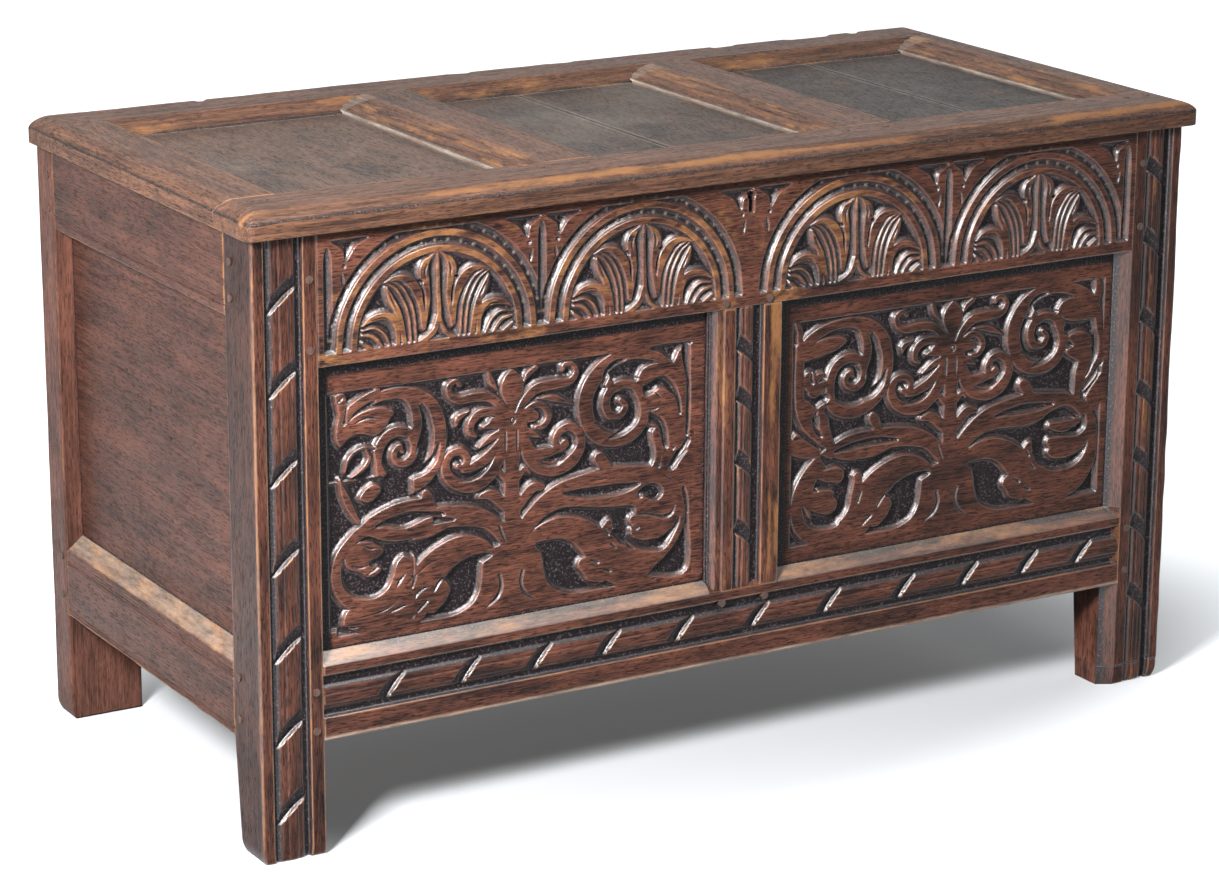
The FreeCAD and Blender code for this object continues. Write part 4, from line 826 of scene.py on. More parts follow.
class Board:
    """One timber: a worked face, held as a grid of heights in mm, on a plain closed body."""

    def __init__(self, node, us, vs, thickness, place, grain_axis):
        self.node = node
        self.us, self.vs = us, vs
        self.u, self.v = np.meshgrid(us, vs)
        self.out = np.zeros(self.u.shape)    # height above the flat face
        self.thickness = np.full(self.u.shape, float(thickness))
        # The last of these is a dark mark: dirt in joints and old wax in hollows, and painted shade in the
        # panels' recesses and in the scoops of the nulled bands.
        self.tone, self.dust, self.bare, self.grime_and_shade = (np.zeros(self.u.shape) for _ in range(4))
        self.place = place
        self.grain_axis = grain_axis
        self.knees = []                      # columns where the back changes depth
        self.around = (OPEN,) * 4            # levels past the four edges
        self.edge_wear = 1.0
        self.soil_share = 1.0
        self.flank_tone = 0.0
        self.seed = sum(ord(c) * (i + 1) for i, c in enumerate(node))
        self.touch = None                    # last change to the points

    def ease(self, low_u, high_u, low_v, high_v, rag=0.5):
        """Round over the four edges by these radii, a little unevenly."""
        u, v = self.u, self.v
        for gap, run, radius in ((u - self.us[0], v, low_u), (self.us[-1] - u, v, high_u),
                                 (v - self.vs[0], u, low_v), (self.vs[-1] - v, u, high_v)):
            if radius:
                uneven = radius * (1 + rag * speckle(run, run * 0, 31, 31, self.seed + 5))
                self.out -= rounding(gap, np.maximum(uneven, 0.3))

    def age(self, amount, size=70.0):
        """Shallow hollows and ripples left by the plane and by wear; the face only goes down."""
        along, across = (self.u, self.v) if self.runs_along_u() else (self.v, self.u)
        ripples = speckle(along, across, size * 3, size * 0.35, self.seed)
        fibres = speckle(along, across, 60, 2.6, self.seed + 9)
        self.out -= amount * (0.5 + 0.5 * ripples) + amount * 0.1 * (0.5 + 0.5 * fibres)

    def tint(self, share, size, seed, level=0.0):
        """Cloudy tone of the wood, about this level."""
        self.tone = share * cloud(self.u, self.v, size, seed) + level

    def runs_along_u(self):
        """Whether the grain follows u rather than v."""
        du = np.array(self.place(1.0, 0.0, 0.0)) - np.array(self.place(0.0, 0.0, 0.0))
        return abs(du[self.grain_axis]) > 0.5

    def ring_depths(self):
        """Where the rings of the flanks lie, as shares of the thickness."""
        deepest = float(self.thickness.max())
        steps = [0.7, 1.8, 4.0, 8.0, *np.arange(14, deepest - 6, 6.0), deepest - 4, deepest - 1.5, deepest]
        return sorted({round(s / deepest, 4) for s in steps if 0 < s <= deepest})

    def worked_marks(self):
        """Wear, old wax and shine that follow from the relief, with the marks that were given one by one."""
        fine, broad, soft = (blurred(self.out, self.us, self.vs, size, self.around)
                             for size in (edge_blur, soil_blur, shine_blur))
        hollow = np.clip((broad - self.out) / soil_fall, 0, 1)
        crevice = np.clip((fine - self.out) / crevice_fall, 0, 1)
        slope = np.hypot(*np.gradient(soft, self.vs, self.us))
        return {"wear": np.clip((self.out - fine) / wear_rise, 0, 1) * self.edge_wear,
                # This dark mark is dirt in hollows and crevices, together with the board's own dark mark,
                # which also paints shade into recesses and scoops.
                "soil_and_shade": np.maximum((hollow + 0.5 * crevice) * self.soil_share, self.grime_and_shade),
                "tone": self.tone, "dust": self.dust, "bare": self.bare,
                "shine": ramp(slope, *shine_slope)}

    def build(self, slot, material, body):
        """Close the worked face with flanks and a back, and make the object."""
        rows, columns = self.out.shape
        marks = self.worked_marks()
        # front grid
        points = [np.stack(self.place(self.u, self.v, self.out), -1).reshape(-1, 3)]
        values = {key: [field.ravel()] for key, field in marks.items()}
        grid = np.arange(rows * columns).reshape(rows, columns)
        # rows and columns of the points round the edge, and from them the rings that make the flanks
        j = np.concatenate([np.zeros(columns, int), np.arange(1, rows), np.full(columns - 1, rows - 1),
                            np.arange(rows - 2, 0, -1)])
        i = np.concatenate([np.arange(columns), np.full(rows - 1, columns - 1),
                            np.arange(columns - 2, -1, -1), np.zeros(rows - 2, int)])
        in_u = np.where(i == 0, 1.0, np.where(i == columns - 1, -1.0, 0.0))
        in_v = np.where(j == 0, 1.0, np.where(j == rows - 1, -1.0, 0.0))
        edge_u, edge_v, edge_out = self.u[j, i], self.v[j, i], self.out[j, i]
        edge_t = self.thickness[j, i]
        edge_run = edge_u + edge_v
        rings = [grid[j, i]]
        count = rows * columns
        for share in self.ring_depths():
            depth = share * (edge_t + edge_out)
            behind = edge_t + edge_out - depth
            rough = 0.5 + 0.5 * speckle(edge_run, depth, 45, 17, self.seed + 3)
            lost = flank_loss * rough * np.clip(depth / 3, 0, 1) + rounding(behind, back_edge_r)
            laid = self.place(edge_u + in_u * lost, edge_v + in_v * lost, edge_out - depth)
            points.append(np.stack(laid, -1))
            back_wear = 0.8 * np.exp(-(behind / 1.5 - 1) ** 2) * (behind > 0.01)
            ring_marks = {"wear": marks["wear"][j, i] * np.exp(-depth / 1.6) + back_wear,
                          "soil_and_shade": 0 * depth,
                          "tone": self.tone[j, i] + self.flank_tone * (1 - np.exp(-depth / 2)),
                          "dust": self.dust[j, i] * np.exp(-depth / 2),
                          "bare": self.bare[j, i] * np.exp(-depth / 3),
                          "shine": 0 * depth}
            for key, row in ring_marks.items():
                values[key].append(row)
            rings.append(count + np.arange(len(i)))
            count += len(i)
        # back, in strips between the knees
        ring = rings[-1]
        bottom, right_side = ring[:columns], ring[columns - 1:columns + rows - 1]
        top = ring[columns + rows - 2:2 * columns + rows - 2][::-1]
        left_side = np.concatenate([ring[:1], ring[2 * columns + rows - 2:][::-1], top[:1]])
        stops = [0] + [int(np.argmin(np.abs(self.us - k))) for k in self.knees] + [columns - 1]
        uprights = [left_side]
        for stop in stops[1:-1]:
            depth = self.thickness[1:-1, stop]
            points.append(np.stack(self.place(self.u[1:-1, stop], self.v[1:-1, stop], -depth), -1))
            for key in values:
                values[key].append(np.zeros(rows - 2))
            between = count + np.arange(rows - 2)
            uprights.append(np.concatenate([bottom[stop:stop + 1], between, top[stop:stop + 1]]))
            count += rows - 2
        uprights.append(right_side)
        faces = [np.stack([grid[:-1, :-1], grid[:-1, 1:], grid[1:, 1:], grid[1:, :-1]], -1).reshape(-1, 4)]
        for upper, lower in zip(rings[:-1], rings[1:]):
            faces.append(np.stack([upper, lower, np.roll(lower, -1), np.roll(upper, -1)], -1))
        smooth = sum(len(f) for f in faces)
        plates = []
        for a, b, low, high in zip(stops[:-1], stops[1:], uprights[:-1], uprights[1:]):
            faces.append(np.stack([low[1:-2], low[2:-1], high[2:-1], high[1:-2]], -1))
            plates.append([low[0], low[1], high[1], high[0]] + list(bottom[a + 1:b][::-1]))
            plates.append([low[-2], low[-1]] + list(top[a + 1:b]) + [high[-1], high[-2]])
        points = np.vstack(points)
        values = {key: np.concatenate(rows_of) for key, rows_of in values.items()}
        if self.touch:
            points = self.touch(points)
        return self.finish(points, values, np.vstack(faces), plates, smooth, material, body)

    def finish(self, points, values, quads, plates, smooth, material, body):
        """Turn points and faces into an object that stands for its node and rides on its body."""
        if self.left_handed():
            quads = quads[:, ::-1]
            plates = [plate[::-1] for plate in plates]
        sizes = np.concatenate([np.full(len(quads), 4), [len(p) for p in plates]]).astype(np.int32)
        corners = np.concatenate([quads.ravel()] + [np.array(p) for p in plates]).astype(np.int32)
        mesh = bpy.data.meshes.new(self.node + "_worked")
        mesh.vertices.add(len(points))
        mesh.vertices.foreach_set("co", (points * MM).astype(np.float32).ravel())
        mesh.loops.add(len(corners))
        mesh.loops.foreach_set("vertex_index", corners)
        mesh.polygons.add(len(sizes))
        mesh.polygons.foreach_set("loop_start", (np.cumsum(sizes) - sizes).astype(np.int32))
        mesh.polygons.foreach_set("use_smooth", np.arange(len(sizes)) < smooth)
        mesh.update(calc_edges=True)
        order = [self.grain_axis] + [k for k in range(3) if k != self.grain_axis]
        shift = np.random.default_rng(self.seed).uniform(-4, 4, 3)
        lay = points[:, order] * MM + shift
        grain = mesh.attributes.new("grain", "FLOAT_VECTOR", "POINT")
        grain.data.foreach_set("vector", lay.astype(np.float32).ravel())
        for key, field in values.items():
            mark = mesh.attributes.new(key, "FLOAT", "POINT")
            mark.data.foreach_set("value", field.astype(np.float32))
        mesh.materials.append(material)
        piece = bpy.data.objects.new(self.node + "_worked", mesh)
        bpy.context.scene.collection.objects.link(piece)
        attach(piece, body)
        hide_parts(self.node)
        return piece

    def left_handed(self):
        """Whether the faces come out inside out in this place."""
        origin = np.array(self.place(0.0, 0.0, 0.0))
        du, dv, do = (np.array(self.place(*step)) - origin for step in np.eye(3))
        return np.dot(np.cross(du, dv), do) < 0


# ---- finishes ------------------------------------------------------------------------------------
def paint(r, g, b):
    """Colour given as it looks, 0 to 255, turned into the linear colour the shaders take."""
    shares = (c / 255 for c in (r, g, b))
    return (*(s / 12.92 if s <= 0.04 else ((s + 0.055) / 1.055) ** 2.4 for s in shares), 1.0)


def put(tree, kind, inputs=(), **settings):
    """Add a node, with a value or a link for each named input."""
    made = tree.nodes.new(kind)
    for key, value in settings.items():
        setattr(made, key, value)
    for socket, value in dict(inputs).items():
        if isinstance(value, bpy.types.NodeSocket):
            tree.links.new(value, made.inputs[socket])
        else:
            made.inputs[socket].default_value = value
    return made


def math_node(tree, operation, a, b, clamp=False):
    return put(tree, "ShaderNodeMath", {0: a, 1: b}, operation=operation, use_clamp=clamp).outputs[0]


def plus(tree, a, b, clamp=False):
    return math_node(tree, "ADD", a, b, clamp)


def less(tree, a, b):
    return math_node(tree, "SUBTRACT", a, b)


def times(tree, a, b, clamp=False):
    return math_node(tree, "MULTIPLY", a, b, clamp)


def mixed(tree, factor, a, b):
    return put(tree, "ShaderNodeMix", {0: factor, 6: a, 7: b}, data_type="RGBA").outputs[2]


def stepped(tree, value, low, high):
    """0 below low, 1 above high, soft between."""
    made = put(tree, "ShaderNodeMapRange", {0: value, 1: low, 2: high, 3: 0.0, 4: 1.0},
               interpolation_type="SMOOTHSTEP")
    return made.outputs[0]


def stretched(tree, lay, scale):
    return put(tree, "ShaderNodeVectorMath", {0: lay, 1: scale}, operation="MULTIPLY").outputs[0]


def noise(tree, lay, scale, detail, rough):
    inputs = {"Vector": lay, "Scale": scale, "Detail": detail, "Roughness": rough}
    return put(tree, "ShaderNodeTexNoise", inputs).outputs["Fac"]


def swing(tree, value, size):
    """How far the value lies from one half, times the size."""
    return times(tree, less(tree, value, 0.5), size)


def seen_directly(tree):
    """1 for what the camera, a reflection or a clear thing sees, 0 for what only lights."""
    rays = tree.nodes.new("ShaderNodeLightPath").outputs
    seen = math_node(tree, "MAXIMUM", rays["Is Camera Ray"], rays["Is Glossy Ray"])
    return math_node(tree, "MAXIMUM", seen, rays["Is Transmission Ray"])


def link(tree, sockets, fields):
    for label, field in fields.items():
        tree.links.new(field, sockets[label])


def bumped(tree, strength, distance, height):
    inputs = {"Strength": strength, "Distance": distance, "Height": height}
    return put(tree, "ShaderNodeBump", inputs).outputs[0]


def new_group(name, takes, gives):
    """Node group whose inputs take a kind of field, or a number that is given here as its default."""
    group = bpy.data.node_groups.new(name, "ShaderNodeTree")
    for label, value in takes.items():
        kind = value if isinstance(value, str) else "Float"
        socket = group.interface.new_socket(name=label, in_out="INPUT", socket_type="NodeSocket" + kind)
        if kind == "Float":
            socket.default_value = value
    for label, kind in gives.items():
        group.interface.new_socket(name=label, in_out="OUTPUT", socket_type="NodeSocket" + kind)
    return group, group.nodes.new("NodeGroupInput").outputs, group.nodes.new("NodeGroupOutput").inputs


def make_oak_figure():
    """Growth streaks, fibre lines, open pores and broad cloudiness of old oak."""
    group, given, result = new_group(
        "oak_figure",
        {"Lay": "Vector", "Dark": "Color", "Light": "Color", "Tone": 0.0, "Streak": 0.6, "Cloud": 0.4,
         "Open": 0.7},
        {"Colour": "Color", "Height": "Float", "Pores": "Float"})
    lay = given["Lay"]
    slow = {"Vector": stretched(group, lay, (1.0, 3.0, 3.0)), "Scale": 3.0, "Detail": 2.0}
    waver = put(group, "ShaderNodeTexNoise", slow).outputs["Color"]
    waver = put(group, "ShaderNodeVectorMath", {0: waver, 1: (0.0, 0.012, 0.012), 2: lay},
                operation="MULTIPLY_ADD").outputs[0]
    streaks = noise(group, stretched(group, waver, (5.0, 150.0, 150.0)), 1.0, 4.0, 0.65)
    fibres = noise(group, stretched(group, waver, (30.0, 620.0, 620.0)), 1.0, 3.0, 0.65)
    pores = noise(group, stretched(group, waver, (95.0, 820.0, 820.0)), 1.0, 1.0, 0.5)
    pores = stepped(group, pores, 0.53, 0.63)
    clouds = noise(group, stretched(group, lay, (10.0, 24.0, 24.0)), 1.0, 6.0, 0.68)
    streaks = swing(group, streaks, given["Streak"])
    clouds = swing(group, clouds, given["Cloud"])
    share = plus(group, plus(group, streaks, swing(group, fibres, 0.8)), clouds)
    share = plus(group, times(group, share, 2.2), 0.5, clamp=True)
    colour = mixed(group, share, given["Dark"], given["Light"])
    darker = less(group, 1.0, times(group, pores, given["Open"]))
    level = times(group, darker, plus(group, given["Tone"], 1.0))
    colour = put(group, "ShaderNodeVectorMath", {0: colour, "Scale": level}, operation="SCALE").outputs[0]
    height = less(group, times(group, fibres, 0.6), pores)
    link(group, result, {"Colour": colour, "Height": height, "Pores": pores})
    return group


def make_rubbed_edges():
    """Golden wood bared along edges and high places, broken up by the grain."""
    group, given, result = new_group(
        "rubbed_edges",
        {"Base": "Color", "Rubbed": "Color", "Wear": 0.0, "Bare": 0.0, "Lay": "Vector", "Amount": 1.0},
        {"Colour": "Color", "Mask": "Float"})
    patches = noise(group, stretched(group, given["Lay"], (22.0, 60.0, 60.0)), 1.0, 4.0, 0.65)
    fine = noise(group, stretched(group, given["Lay"], (150.0, 900.0, 900.0)), 1.0, 2.0, 0.6)
    broken = plus(group, swing(group, patches, 1.7), swing(group, fine, 0.7))
    shown = plus(group, given["Wear"], broken)
    from_wear = times(group, stepped(group, shown, 0.55, 1.15), given["Amount"])
    worn = times(group, from_wear, stepped(group, given["Wear"], 0.15, 0.5))
    bared = plus(group, given["Bare"], broken)
    bared = times(group, stepped(group, bared, 0.25, 0.95), stepped(group, given["Bare"], 0.02, 0.25))
    mask = math_node(group, "MAXIMUM", worn, bared, clamp=True)
    link(group, result, {"Colour": mixed(group, mask, given["Base"], given["Rubbed"]), "Mask": mask})
    return group


def make_wax_and_shade():
    """Dark wax and dirt that gathers in hollows, with a pale bloom in specks; where its mask carries painted
    shade, the same dark colour paints that shade.
    """
    group, given, result = new_group(
        "old_wax_and_shade",
        {"Base": "Color", "Wax_and_shade": "Color", "Bloom": "Color", "Soil_and_shade": 0.0, "Lay": "Vector", "Amount": 1.0},
        {"Colour": "Color", "Mask": "Float"})
    spots = swing(group, noise(group, given["Lay"], 210.0, 3.0, 0.6), 0.7)
    gathered = stepped(group, plus(group, given["Soil_and_shade"], spots), 0.08, 0.85)
    mask = times(group, gathered, given["Amount"], clamp=True)
    bloom = stepped(group, noise(group, given["Lay"], 430.0, 2.0, 0.5), 0.54, 0.68)
    bloomed = mixed(group, times(group, bloom, 0.42), given["Wax_and_shade"], given["Bloom"])
    link(group, result, {"Colour": mixed(group, mask, given["Base"], bloomed), "Mask": mask})
    return group


def make_pale_dust():
    """Thin pale film of dust and dried polish on ledges and in scratches."""
    group, given, result = new_group(
        "pale_dust",
        {"Base": "Color", "Dust": "Color", "Film": 0.0, "Lay": "Vector"},
        {"Colour": "Color", "Mask": "Float"})
    smears = noise(group, stretched(group, given["Lay"], (30.0, 160.0, 160.0)), 1.0, 4.0, 0.7)
    smears = plus(group, times(group, smears, 1.6), -0.3, clamp=True)
    mask = times(group, given["Film"], smears, clamp=True)
    link(group, result, {"Colour": mixed(group, mask, given["Base"], given["Dust"]), "Mask": mask})
    return group


coat_roughness = 0.36
wax_bloom = (112, 100, 102)
stain_brown = (38, 28, 24)
iron_black, iron_rust = (46, 43, 42), (92, 58, 40)
OAK_FIGURE = make_oak_figure()
RUBBED_EDGES = make_rubbed_edges()
OLD_WAX_AND_SHADE = make_wax_and_shade()
PALE_DUST = make_pale_dust()


def use(tree, group, inputs):
    return put(tree, "ShaderNodeGroup", inputs, node_tree=group).outputs


def attribute(tree, name):
    return put(tree, "ShaderNodeAttribute", attribute_name=name, attribute_type="GEOMETRY").outputs


def mark(tree, name):
    return attribute(tree, name)["Fac"]


def start_material(name):
    material = bpy.data.materials.new(name)
    material.use_nodes = True
    tree = material.node_tree
    tree.nodes.clear()
    shader = tree.nodes.new("ShaderNodeBsdfPrincipled")
    result = tree.nodes.new("ShaderNodeOutputMaterial")
    tree.links.new(shader.outputs[0], result.inputs[0])
    return material, tree, shader


def oak(name, dark, light, rubbed, wax, dust, wear, polish, gloss, cloud, streak=0.6, coat=0.0, pores=0.7):
    """Oak for the worked boards, whose marks of wear, dirt and painted shade are kept on their points."""
    material, tree, shader = start_material(name)
    lay = attribute(tree, "grain")["Vector"]
    figure = use(tree, OAK_FIGURE, {"Lay": lay, "Dark": paint(*dark), "Light": paint(*light),
                                    "Tone": mark(tree, "tone"), "Streak": streak, "Cloud": cloud,
                                    "Open": pores})
    # The wax colour also lays the painted shade that the dark mark carries on the carving.
    waxed_and_shaded = use(tree, OLD_WAX_AND_SHADE, {"Base": figure["Colour"], "Wax_and_shade": paint(*wax), "Bloom": paint(*wax_bloom),
                                "Soil_and_shade": mark(tree, "soil_and_shade"), "Lay": lay})
    edges = use(tree, RUBBED_EDGES, {"Base": waxed_and_shaded["Colour"], "Rubbed": paint(*rubbed), "Lay": lay,
                                     "Wear": mark(tree, "wear"), "Bare": mark(tree, "bare"), "Amount": wear})
    film = use(tree, PALE_DUST, {"Base": edges["Colour"], "Dust": paint(*dust), "Film": mark(tree, "dust"),
                                 "Lay": lay})
    matt = plus(tree, times(tree, film["Mask"], 0.3), times(tree, figure["Pores"], 0.15))
    matt = plus(tree, matt, swing(tree, noise(tree, lay, 40.0, 3.0, 0.6), 0.2))
    dents = times(tree, noise(tree, lay, 180.0, 2.0, 0.5), 0.4)
    rough_ground = stepped(tree, waxed_and_shaded["Mask"], 0.45, 0.95)
    tooling = times(tree, noise(tree, lay, 420.0, 2.0, 0.6), rough_ground)
    surface = plus(tree, times(tree, figure["Height"], 0.35), dents)
    surface = plus(tree, surface, times(tree, tooling, 2.2))
    link(tree, shader.inputs, {"Base Color": film["Colour"], "Normal": bumped(tree, 0.55, 0.0009, surface),
                               "Roughness": plus(tree, matt, polish, clamp=True)})
    shader.inputs["Specular IOR Level"].default_value = gloss
    if coat:
        link(tree, shader.inputs, {"Coat Weight": times(tree, mark(tree, "shine"), coat)})
        shader.inputs["Coat Roughness"].default_value = coat_roughness
    return material


def plain_oak(name, dark, light, along, cloud=0.5):
    """Oak for the parts that keep their plain solids: the grain lies along the named direction."""
    material, tree, shader = start_material(name)
    lay = put(tree, "ShaderNodeTexCoord").outputs["Object"]
    turn = {"y": (0.0, 0.0, math.pi / 2), "z": (0.0, math.pi / 2, 0.0)}[along]
    lay = put(tree, "ShaderNodeMapping", {"Vector": lay, "Rotation": turn}).outputs[0]
    figure = use(tree, OAK_FIGURE, {"Lay": lay, "Dark": paint(*dark), "Light": paint(*light), "Cloud": cloud})
    spots = noise(tree, lay, 14.0, 4.0, 0.65)
    stained = use(tree, OLD_WAX_AND_SHADE, {"Base": figure["Colour"], "Wax_and_shade": paint(*stain_brown),
                                  "Bloom": paint(*wax_bloom), "Lay": lay,
                                  "Soil_and_shade": stepped(tree, spots, 0.5, 0.8), "Amount": 0.55})
    link(tree, shader.inputs, {"Base Color": stained["Colour"],
                               "Roughness": plus(tree, times(tree, figure["Pores"], 0.15), 0.6),
                               "Normal": bumped(tree, 0.6, 0.0006, figure["Height"])})
    return material


def iron(name):
    """Hand-forged iron, blackened, with brown rust in patches."""
    material, tree, shader = start_material(name)
    lay = put(tree, "ShaderNodeTexCoord").outputs["Object"]
    broad = noise(tree, lay, 60.0, 4.0, 0.65)
    fine = noise(tree, lay, 900.0, 3.0, 0.6)
    rust = stepped(tree, plus(tree, broad, times(tree, fine, 0.25)), 0.58, 0.78)
    colour = mixed(tree, rust, paint(*iron_black), paint(*iron_rust))
    hammered = noise(tree, lay, 130.0, 2.0, 0.5)
    surface = plus(tree, times(tree, fine, 0.35), hammered)
    link(tree, shader.inputs, {"Base Color": colour, "Normal": bumped(tree, 0.6, 0.0008, surface),
                               "Metallic": less(tree, 0.75, times(tree, rust, 0.6)),
                               "Roughness": plus(tree, times(tree, rust, 0.3), 0.45)})
    return material


golden = (140, 97, 62)
# The carving's dark colour is old wax and dirt, and also the colour of the shade painted into its recesses
# and scoops.
carving_wax_and_shade, side_wax, lid_wax = (22, 16, 19), (30, 19, 18), (28, 20, 18)
grey_dust = (176, 160, 146)
lid_dust = (190, 180, 168)
unpolished_dark, unpolished_light = (92, 66, 48), (158, 124, 94)
CARVED = oak("oak_carved", (34, 22, 20), (110, 68, 54), golden, carving_wax_and_shade, grey_dust,
             wear=0.6, polish=0.32, gloss=0.12, cloud=1.0, coat=1.0)
SIDE = oak("oak_side", (42, 26, 22), (86, 55, 45), golden, side_wax, grey_dust,
           wear=0.7, polish=0.46, gloss=0.15, streak=0.8, cloud=0.9, pores=0.4)
LID_RAIL = oak("oak_lid_frame", (50, 32, 25), (112, 78, 60), golden, lid_wax, lid_dust,
               wear=0.9, polish=0.46, gloss=0.18, streak=1.1, cloud=0.55, pores=0.55)
LID_PANEL = oak("oak_lid_panels", (38, 28, 24), (92, 69, 56), golden, lid_wax, lid_dust,
                wear=0.5, polish=0.42, gloss=0.16, cloud=1.1, pores=0.5)
PLAIN = oak("oak_plain", unpolished_dark, unpolished_light, (172, 134, 96), (46, 34, 28), (170, 158, 146),
            wear=0.4, polish=0.62, gloss=0.25, cloud=0.6, pores=0.5)
BOARD_OAK = plain_oak("oak_bottom_boards", unpolished_dark, unpolished_light, "y")
PEG_OAK = plain_oak("oak_peg_ends", (40, 26, 22), (92, 62, 48), "z", cloud=0.8)
IRON = iron("wrought_iron")


# ---- where each face lies --------------------------------------------------------------------------
def front_face(u, v, out):
    return u, front - out, v


def left_face(u, v, out):
    return left - out, u, v


def right_face(u, v, out):
    return right + out, u, v


def back_face(u, v, out):
    return u, back + out, v


def lid_face(u, v, out):
    return u, v, lid_top + out


lid_soil = 0.45              # the lid is wiped clean more often than the carving


def narrow_foot(points):
    """The back of a front foot slopes in below the rails."""
    share = np.clip((low_rail_z - points[:, 2]) / low_rail_z, 0, 1)
    points[:, 1] = front + (points[:, 1] - front) * (1 - share * foot_taper / front_stile_d)
    return points


def round_foot(points, side_x, side_y):
    """Worn, rounded bottom corner of a leg; the sides give the outer corner."""
    x, y, z = points.T
    outer = left if side_x < 0 else right
    face = front if side_y < 0 else back
    low = np.clip(1 - z / foot_wear_h, 0, 1) ** 2
    reach_x = np.clip(1 - np.abs(x - outer) / foot_wear_reach, 0, 1)
    reach_y = np.clip(1 - np.abs(y - face) / foot_wear_reach, 0, 1)
    points[:, 0] -= side_x * foot_loss_x * low * reach_x
    points[:, 1] -= side_y * foot_loss_y * low * reach_y
    return points


# ---- front frame ---------------------------------------------------------------------------------
def left_front_stile():
    board = Board("stile_front_left", ruled(left, left_shoulder, 1.0, (-576, -533)),
                  ruled(0, carcase_top, 1.0), front_stile_d, front_face, ALONG_Z)
    u, v = board.u, board.v
    band = nulled_band(v, u, left_stile_scoops, edges=(-576.5, -532.5), reed=(-571, -539.5), lean=0.85,
                       run=1, grooves=(-560.5, -547.5), scoop=18)
    board.out += band
    board.grime_and_shade = wax_and_shade_in_hollows(band)
    board.age(0.25)
    board.ease(2.4, 0.7, 2.0, 0.8)
    board.bare = 0.32 * np.exp(-(u - left) / 3) * ramp(speckle(v, u, 30, 60, 4), -0.1, 0.6)
    board.flank_tone = -0.35
    board.tint(0.16, 90, 21, -0.25)
    board.touch = lambda points: round_foot(narrow_foot(points), -1, -1)
    return board.build("oak_carved", CARVED, "carcase")


def right_stile_board(name, bottom, top):
    """Stile or foot splice, with the nulled band and the chamfer that run down over both."""
    board = Board(name, ruled(right_shoulder, right, 1.0, (right_face_edge, 540, 578)),
                  ruled(bottom, top, 1.0), front_stile_d, front_face, ALONG_Z)
    u, v = board.u, board.v
    band = nulled_band(v, u, right_stile_scoops, edges=(540, 578), reed=(543.5, 567.5), lean=-0.85, run=1,
                       grooves=(551, 560), scoop=20)
    chamfer = -front_recess * np.clip((right_face_edge - u) / (right_face_edge - right_shoulder), 0, 1)
    board.out += np.minimum(band, chamfer)
    board.grime_and_shade = np.maximum(wax_and_shade_in_hollows(band), 0.9 * ridge(v - splice_h, splice_seam_w))
    on_reed = (band > -1.2) * (u > 542) * (u < 569)
    board.bare = 0.5 * ramp(speckle(v, u, 60, 5, 41), 0.0, 0.7) * on_reed
    return board


def right_front_stile():
    board = right_stile_board("stile_front_right", splice_h, carcase_top)
    board.age(0.25)
    board.ease(0.6, 2.2, 0.6, 0.8)
    board.tint(0.12, 90, 22, -0.12)
    board.edge_wear = 0.4
    board.touch = narrow_foot
    return board.build("oak_carved", CARVED, "carcase")


def right_foot_splice():
    board = right_stile_board("foot_splice_front_right", 0, splice_h)
    board.age(0.3)
    board.ease(0.6, 2.2, 2.2, 0.9)
    board.tint(0.15, 50, 23, 0.05)
    board.edge_wear = 0.2
    board.touch = lambda points: round_foot(narrow_foot(points), 1, -1)
    return board.build("oak_carved", CARVED, "carcase")


def scribed_end(board):
    """The right end of a front rail is thinned where it lies over the stile's chamfer."""
    over = np.clip((right_face_edge - board.u) / (right_face_edge - right_shoulder), feather_share, 1)
    board.thickness = np.where(board.u > right_shoulder, over * front_recess, board.thickness)
    board.out = np.maximum(board.out, thinnest - board.thickness)
    board.knees = [right_shoulder - 0.4, right_shoulder + 0.4]


def front_top_rail():
    """Carved rail with the keyhole, the punched dots and the golden wood rubbed bare."""
    us = ruled(left_shoulder, right_face_edge, carving_pitch, (right_shoulder,))
    vs = ruled(front_rail_z, carcase_top, carving_pitch)
    board = Board("front_top_rail", us, vs, front_rail_t, front_face, ALONG_X)
    relief = Relief(us, vs)
    u, v = board.u, board.v
    carve_frieze(relief)
    board.age(0.3)
    relief.gouge(1.6, CUT_BELOW_KEYHOLE)
    relief.gouge(1.0, WORN_BELOW_KEYHOLE)
    loss = relief.loss(frieze_relief, frieze_wall)
    sunk = ramp(loss, 2.0, frieze_relief)
    dots = punched_dots(u, v)
    board.out -= loss + sunk * ground_texture(u, v, 31) - punch_rise * dots
    board.out = np.minimum(board.out, -keyhole_pit(u, v))
    board.ease(0.6, 0.6, 1.4, 0.9)
    golden_share = 0.18 + 0 * u
    for middle, rx, top in LUNETTES:
        turn = np.hypot((u - middle) / rx, (v - lunette_base) / (top - lunette_base))
        golden_share = np.maximum(golden_share, 0.45 * ramp(1.03 - turn, 0, 0.02))
    golden_share = np.where(v < lunette_base, 0.34, golden_share) * ramp(620 - u, 0, 560)
    broken = 0.25 * speckle(u, v, 45, 30, 12) + 0.2 * speckle(u, v, 9, 4, 13)
    board.bare = np.clip(golden_share + broken * (golden_share > 0.1), 0, 1) * (loss < 0.6)
    board.grime_and_shade = 0.95 * sunk * (1 - dots)
    board.dust = 0.7 * dots
    board.edge_wear = 0.55
    board.tint(0.12, 120, 24, 0.05)
    scribed_end(board)
    return board.build("oak_carved", CARVED, "carcase")


def ground_texture(u, v, seed):
    """Roughness of the lowered ground, from the tip of the chisel."""
    fine, broad = speckle(u, v, 2.4, 2.4, seed), speckle(u, v, 9, 6, seed + 1)
    return 0.6 * (0.5 + 0.5 * fine) + 0.4 * (0.5 + 0.5 * broad)


